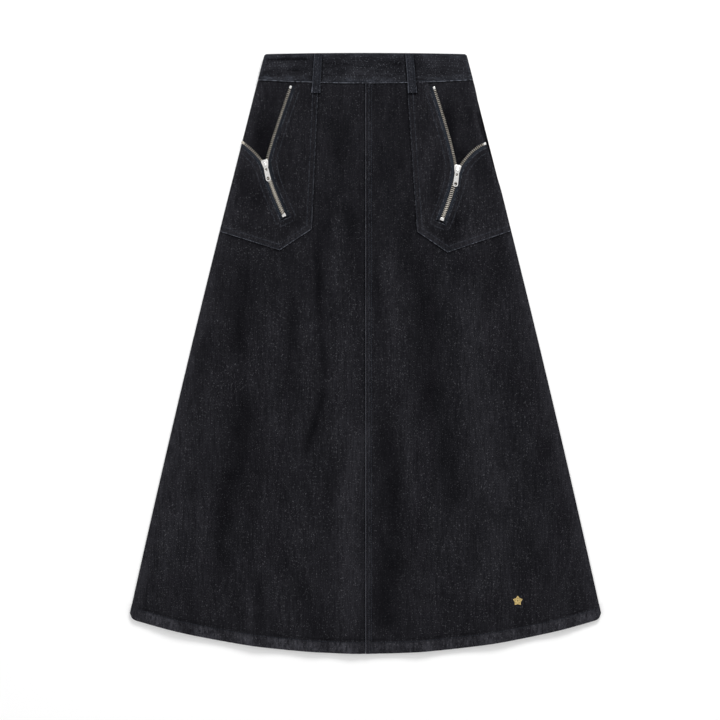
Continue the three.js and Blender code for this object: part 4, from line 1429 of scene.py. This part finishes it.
def inwardOf(line, towards):
    tangent = np.gradient(line, axis=0)
    tangent /= np.linalg.norm(tangent, axis=1, keepdims=True)
    normal = leftOf(tangent)
    middle = len(line) // 2
    if np.dot(normal[middle], np.asarray(towards) - line[middle]) < 0:
        normal = -normal
    return normal


def offsetLine(line, towards, distance):
    line = resample(line, 4.0)
    return line + inwardOf(line, towards) * distance


def pocketThread(model):
    pocket, side = model["pocket"], model["side"]
    lines = pocketLines[model["name"]]
    zipEdge = zipEdgeOf(lines)

    def height(x, y):
        return pocketTop(model, zipEdge, x, y) + threadLift

    innerTop = (pocket["innerTop"][0], 418.0)
    centreInner = (np.array(pocket["innerFoot"]) + np.array(pocket["closedStop"])) / 2
    centreOuter = np.array([side * 195.0, 235.0])
    foot = np.array([side * 140.0, 235.0])
    rows = []
    for distance in (1.5, 7.8):
        for line, towards, first, last in (
            ([innerTop, pocket["innerFoot"]], foot, 0, 2),
            ([pocket["innerFoot"], pocket["point"]], foot, 1, 0),
            ([pocket["point"], model["sewn"][3]], foot, 0, 1),
            (lines["inner"], centreInner, 1, 1),
            (lines["outer"], centreOuter, 0, 0),
            (lines["windowInner"], centreInner, 0, 0),
            (lines["windowOuter"], centreOuter, 0, 0),
            ([lines["windowInner"][-1], lines["windowOuter"][-1]], pocket["point"], 0, 0),
        ):
            row = offsetLine(line, towards, distance)
            row = row[first : len(row) - last]
            rows.append(row[np.abs(row[:, 0]) < frontHalf(row[:, 1], side) - 2.6])
    return [lifted(row, height) for row in rows if len(row) > 1]


def centreThread():
    y = np.linspace(418, -466, 220)
    rows = []
    for x0, sunk in ((4.8, -0.12), (9.2, 0.0)):
        x = np.full_like(y, x0)
        rows.append(np.column_stack([x, y, frontTop(x, y) + fellExtra + sunk]))
    return rows


def frontThread():
    rows = []
    for side in (-1, 1):
        x = side * np.linspace(1, footHalf - 4, 130)
        y = hemY(x) + hemFold - 2.5
        rows.append(np.column_stack([x, y, frontTop(x, y) + hemPucker(x, y) + threadLift]))
    return rows


def bandThread():
    f = np.linspace(-0.985, 0.985, 120)
    rows = []
    for y in (topY(f) - 2.4, seamY(f) + 2.4):
        x = f * halfWidth(y)
        rows.append(np.column_stack([x, y, bandUnder(x) + bandThick + 0.05]))
    return rows


def backThread():
    rows = []
    y = np.linspace(330, -464, 200)
    for x0 in (1.8, 8.4):
        x = np.full_like(y, x0)
        rows.append(np.column_stack([x, y, backLift(x, y) + 0.1]))
    for side in (-1, 1):
        x = side * np.linspace(1, footHalf - 6, 130)
        y = hemY(x) + hemFold - 2.5
        rows.append(np.column_stack([x, y, backLift(x, y) + 0.1]))
    return rows


threadRows = {
    "thread_pocket_right": pocketThread(models[0]),
    "thread_pocket_left": pocketThread(models[1]),
    "thread_front": frontThread(),
    "thread_waistband": bandThread(),
    "thread_loops": loopRows,
    "thread_back": backThread(),
}
for seed, (name, rows) in enumerate(threadRows.items()):
    repeatAlong(name, rows, stitchUnit, stitchPitch, 0.08, seed, threadBlue)
repeatAlong("thread_centre", centreThread(), stitchUnit, 3.6, 0.25, 9, threadFaint)
for name, rows in zipCords.items():
    repeatAlong(f"zip_cord_{name}", rows, stitchUnit, toothPitch, 0.1, 7, threadPale)
for unit in (stitchUnit, toothLeft, toothRight, openLeft, openRight):
    bpy.data.objects.remove(unit)
print("thread made")

# Flower in gold thread near the hem
motif = {"x": 237.6, "y": -386.3, "petal": 6.2, "petals": 5, "thread": 0.34, "sides": 6}


def flowerMotif():
    rings = []
    for petal in range(motif["petals"]):
        angle = 2 * math.pi * petal / motif["petals"] + math.pi / 2
        along = np.linspace(0.12, 1, 9)
        for k in np.linspace(-1, 1, 7):
            spread = k * 0.42 * np.sin(along * math.pi * 0.93) * motif["petal"]
            reach = along * motif["petal"] * (1.22 - 0.18 * k * k)
            x = motif["x"] + reach * math.cos(angle) - spread * math.sin(angle)
            y = motif["y"] + reach * math.sin(angle) + spread * math.cos(angle)
            rings.append((x, y))
    points, faces = [], []
    for x, y in rings:
        z = frontTop(x, y) + 0.1 + 0.35 * np.sin(np.linspace(0.1, math.pi - 0.1, len(x)))
        tangent = np.stack([np.gradient(x), np.gradient(y)], 1)
        tangent /= np.linalg.norm(tangent, axis=1, keepdims=True)
        normal = leftOf(tangent)
        first = len(points)
        count = motif["sides"]
        for j in range(len(x)):
            for a in range(count):
                angle = 2 * math.pi * a / count
                out, up = motif["thread"] * math.cos(angle), motif["thread"] * math.sin(angle)
                points.append((x[j] + normal[j, 0] * out, y[j] + normal[j, 1] * out, z[j] + up))
        for j in range(len(x) - 1):
            for a in range(count):
                b = (a + 1) % count
                low, high = first + j * count, first + (j + 1) * count
                faces.append((low + a, low + b, high + b, high + a))
        faces.append(tuple(first + a for a in reversed(range(count))))
        faces.append(tuple(first + (len(x) - 1) * count + a for a in range(count)))
    finishMesh("flower_motif", points, faces, threadGold)


flowerMotif()
print("motif made")

# Camera, floor and lights
view = {"x": -8.6, "y": -10.4, "height": 2600.0, "span": 1123.0, "sensor": 36.0}
ground = {"reach": 6, "below": 0.0004}


def stageScene():
    camera = newObject("camera", bpy.data.cameras.new("camera"))
    camera.location = (view["x"] * mm, view["y"] * mm, view["height"] * mm)
    camera.data.sensor_width = view["sensor"]
    camera.data.lens = view["sensor"] * (view["height"] - 6) / view["span"]
    camera.data.clip_end = 50
    bpy.context.scene.camera = camera
    floor = bpy.data.meshes.new("floor")
    reach, below = ground["reach"], ground["below"]
    corners = [(x * reach, y * reach, -below) for x, y in ((-1, -1), (1, -1), (1, 1), (-1, 1))]
    floor.from_pydata(corners, [], [(0, 1, 2, 3)])
    floor.materials.append(newMaterial("paleFloor", {"Base Color": (0.95, 0.95, 0.95, 1), "Roughness": 0.9})[0])
    newObject("floor", floor)
    for name, place, size, energy in (
        ("key", (0.6, 2.0, 1.6), 0.8, 46),
        ("fill", (-1.8, -1.0, 2.4), 2.2, 9),
        ("top", (1.4, -1.6, 3.4), 2.0, 10),
    ):
        lamp = bpy.data.lights.new(name, "AREA")
        lamp.size = size
        lamp.energy = energy
        light = newObject(name, lamp)
        light.location = place
        light.rotation_euler = (Vector((0, 0, 0)) - Vector(place)).to_track_quat("-Z", "Y").to_euler()
    world = bpy.data.worlds.new("studio")
    world.use_nodes = True
    background = world.node_tree.nodes["Background"]
    background.inputs[0].default_value = (1, 1, 1, 1)
    background.inputs[1].default_value = 0.7
    bpy.context.scene.world = world
    bpy.context.scene.view_settings.view_transform = "Standard"


stageScene()
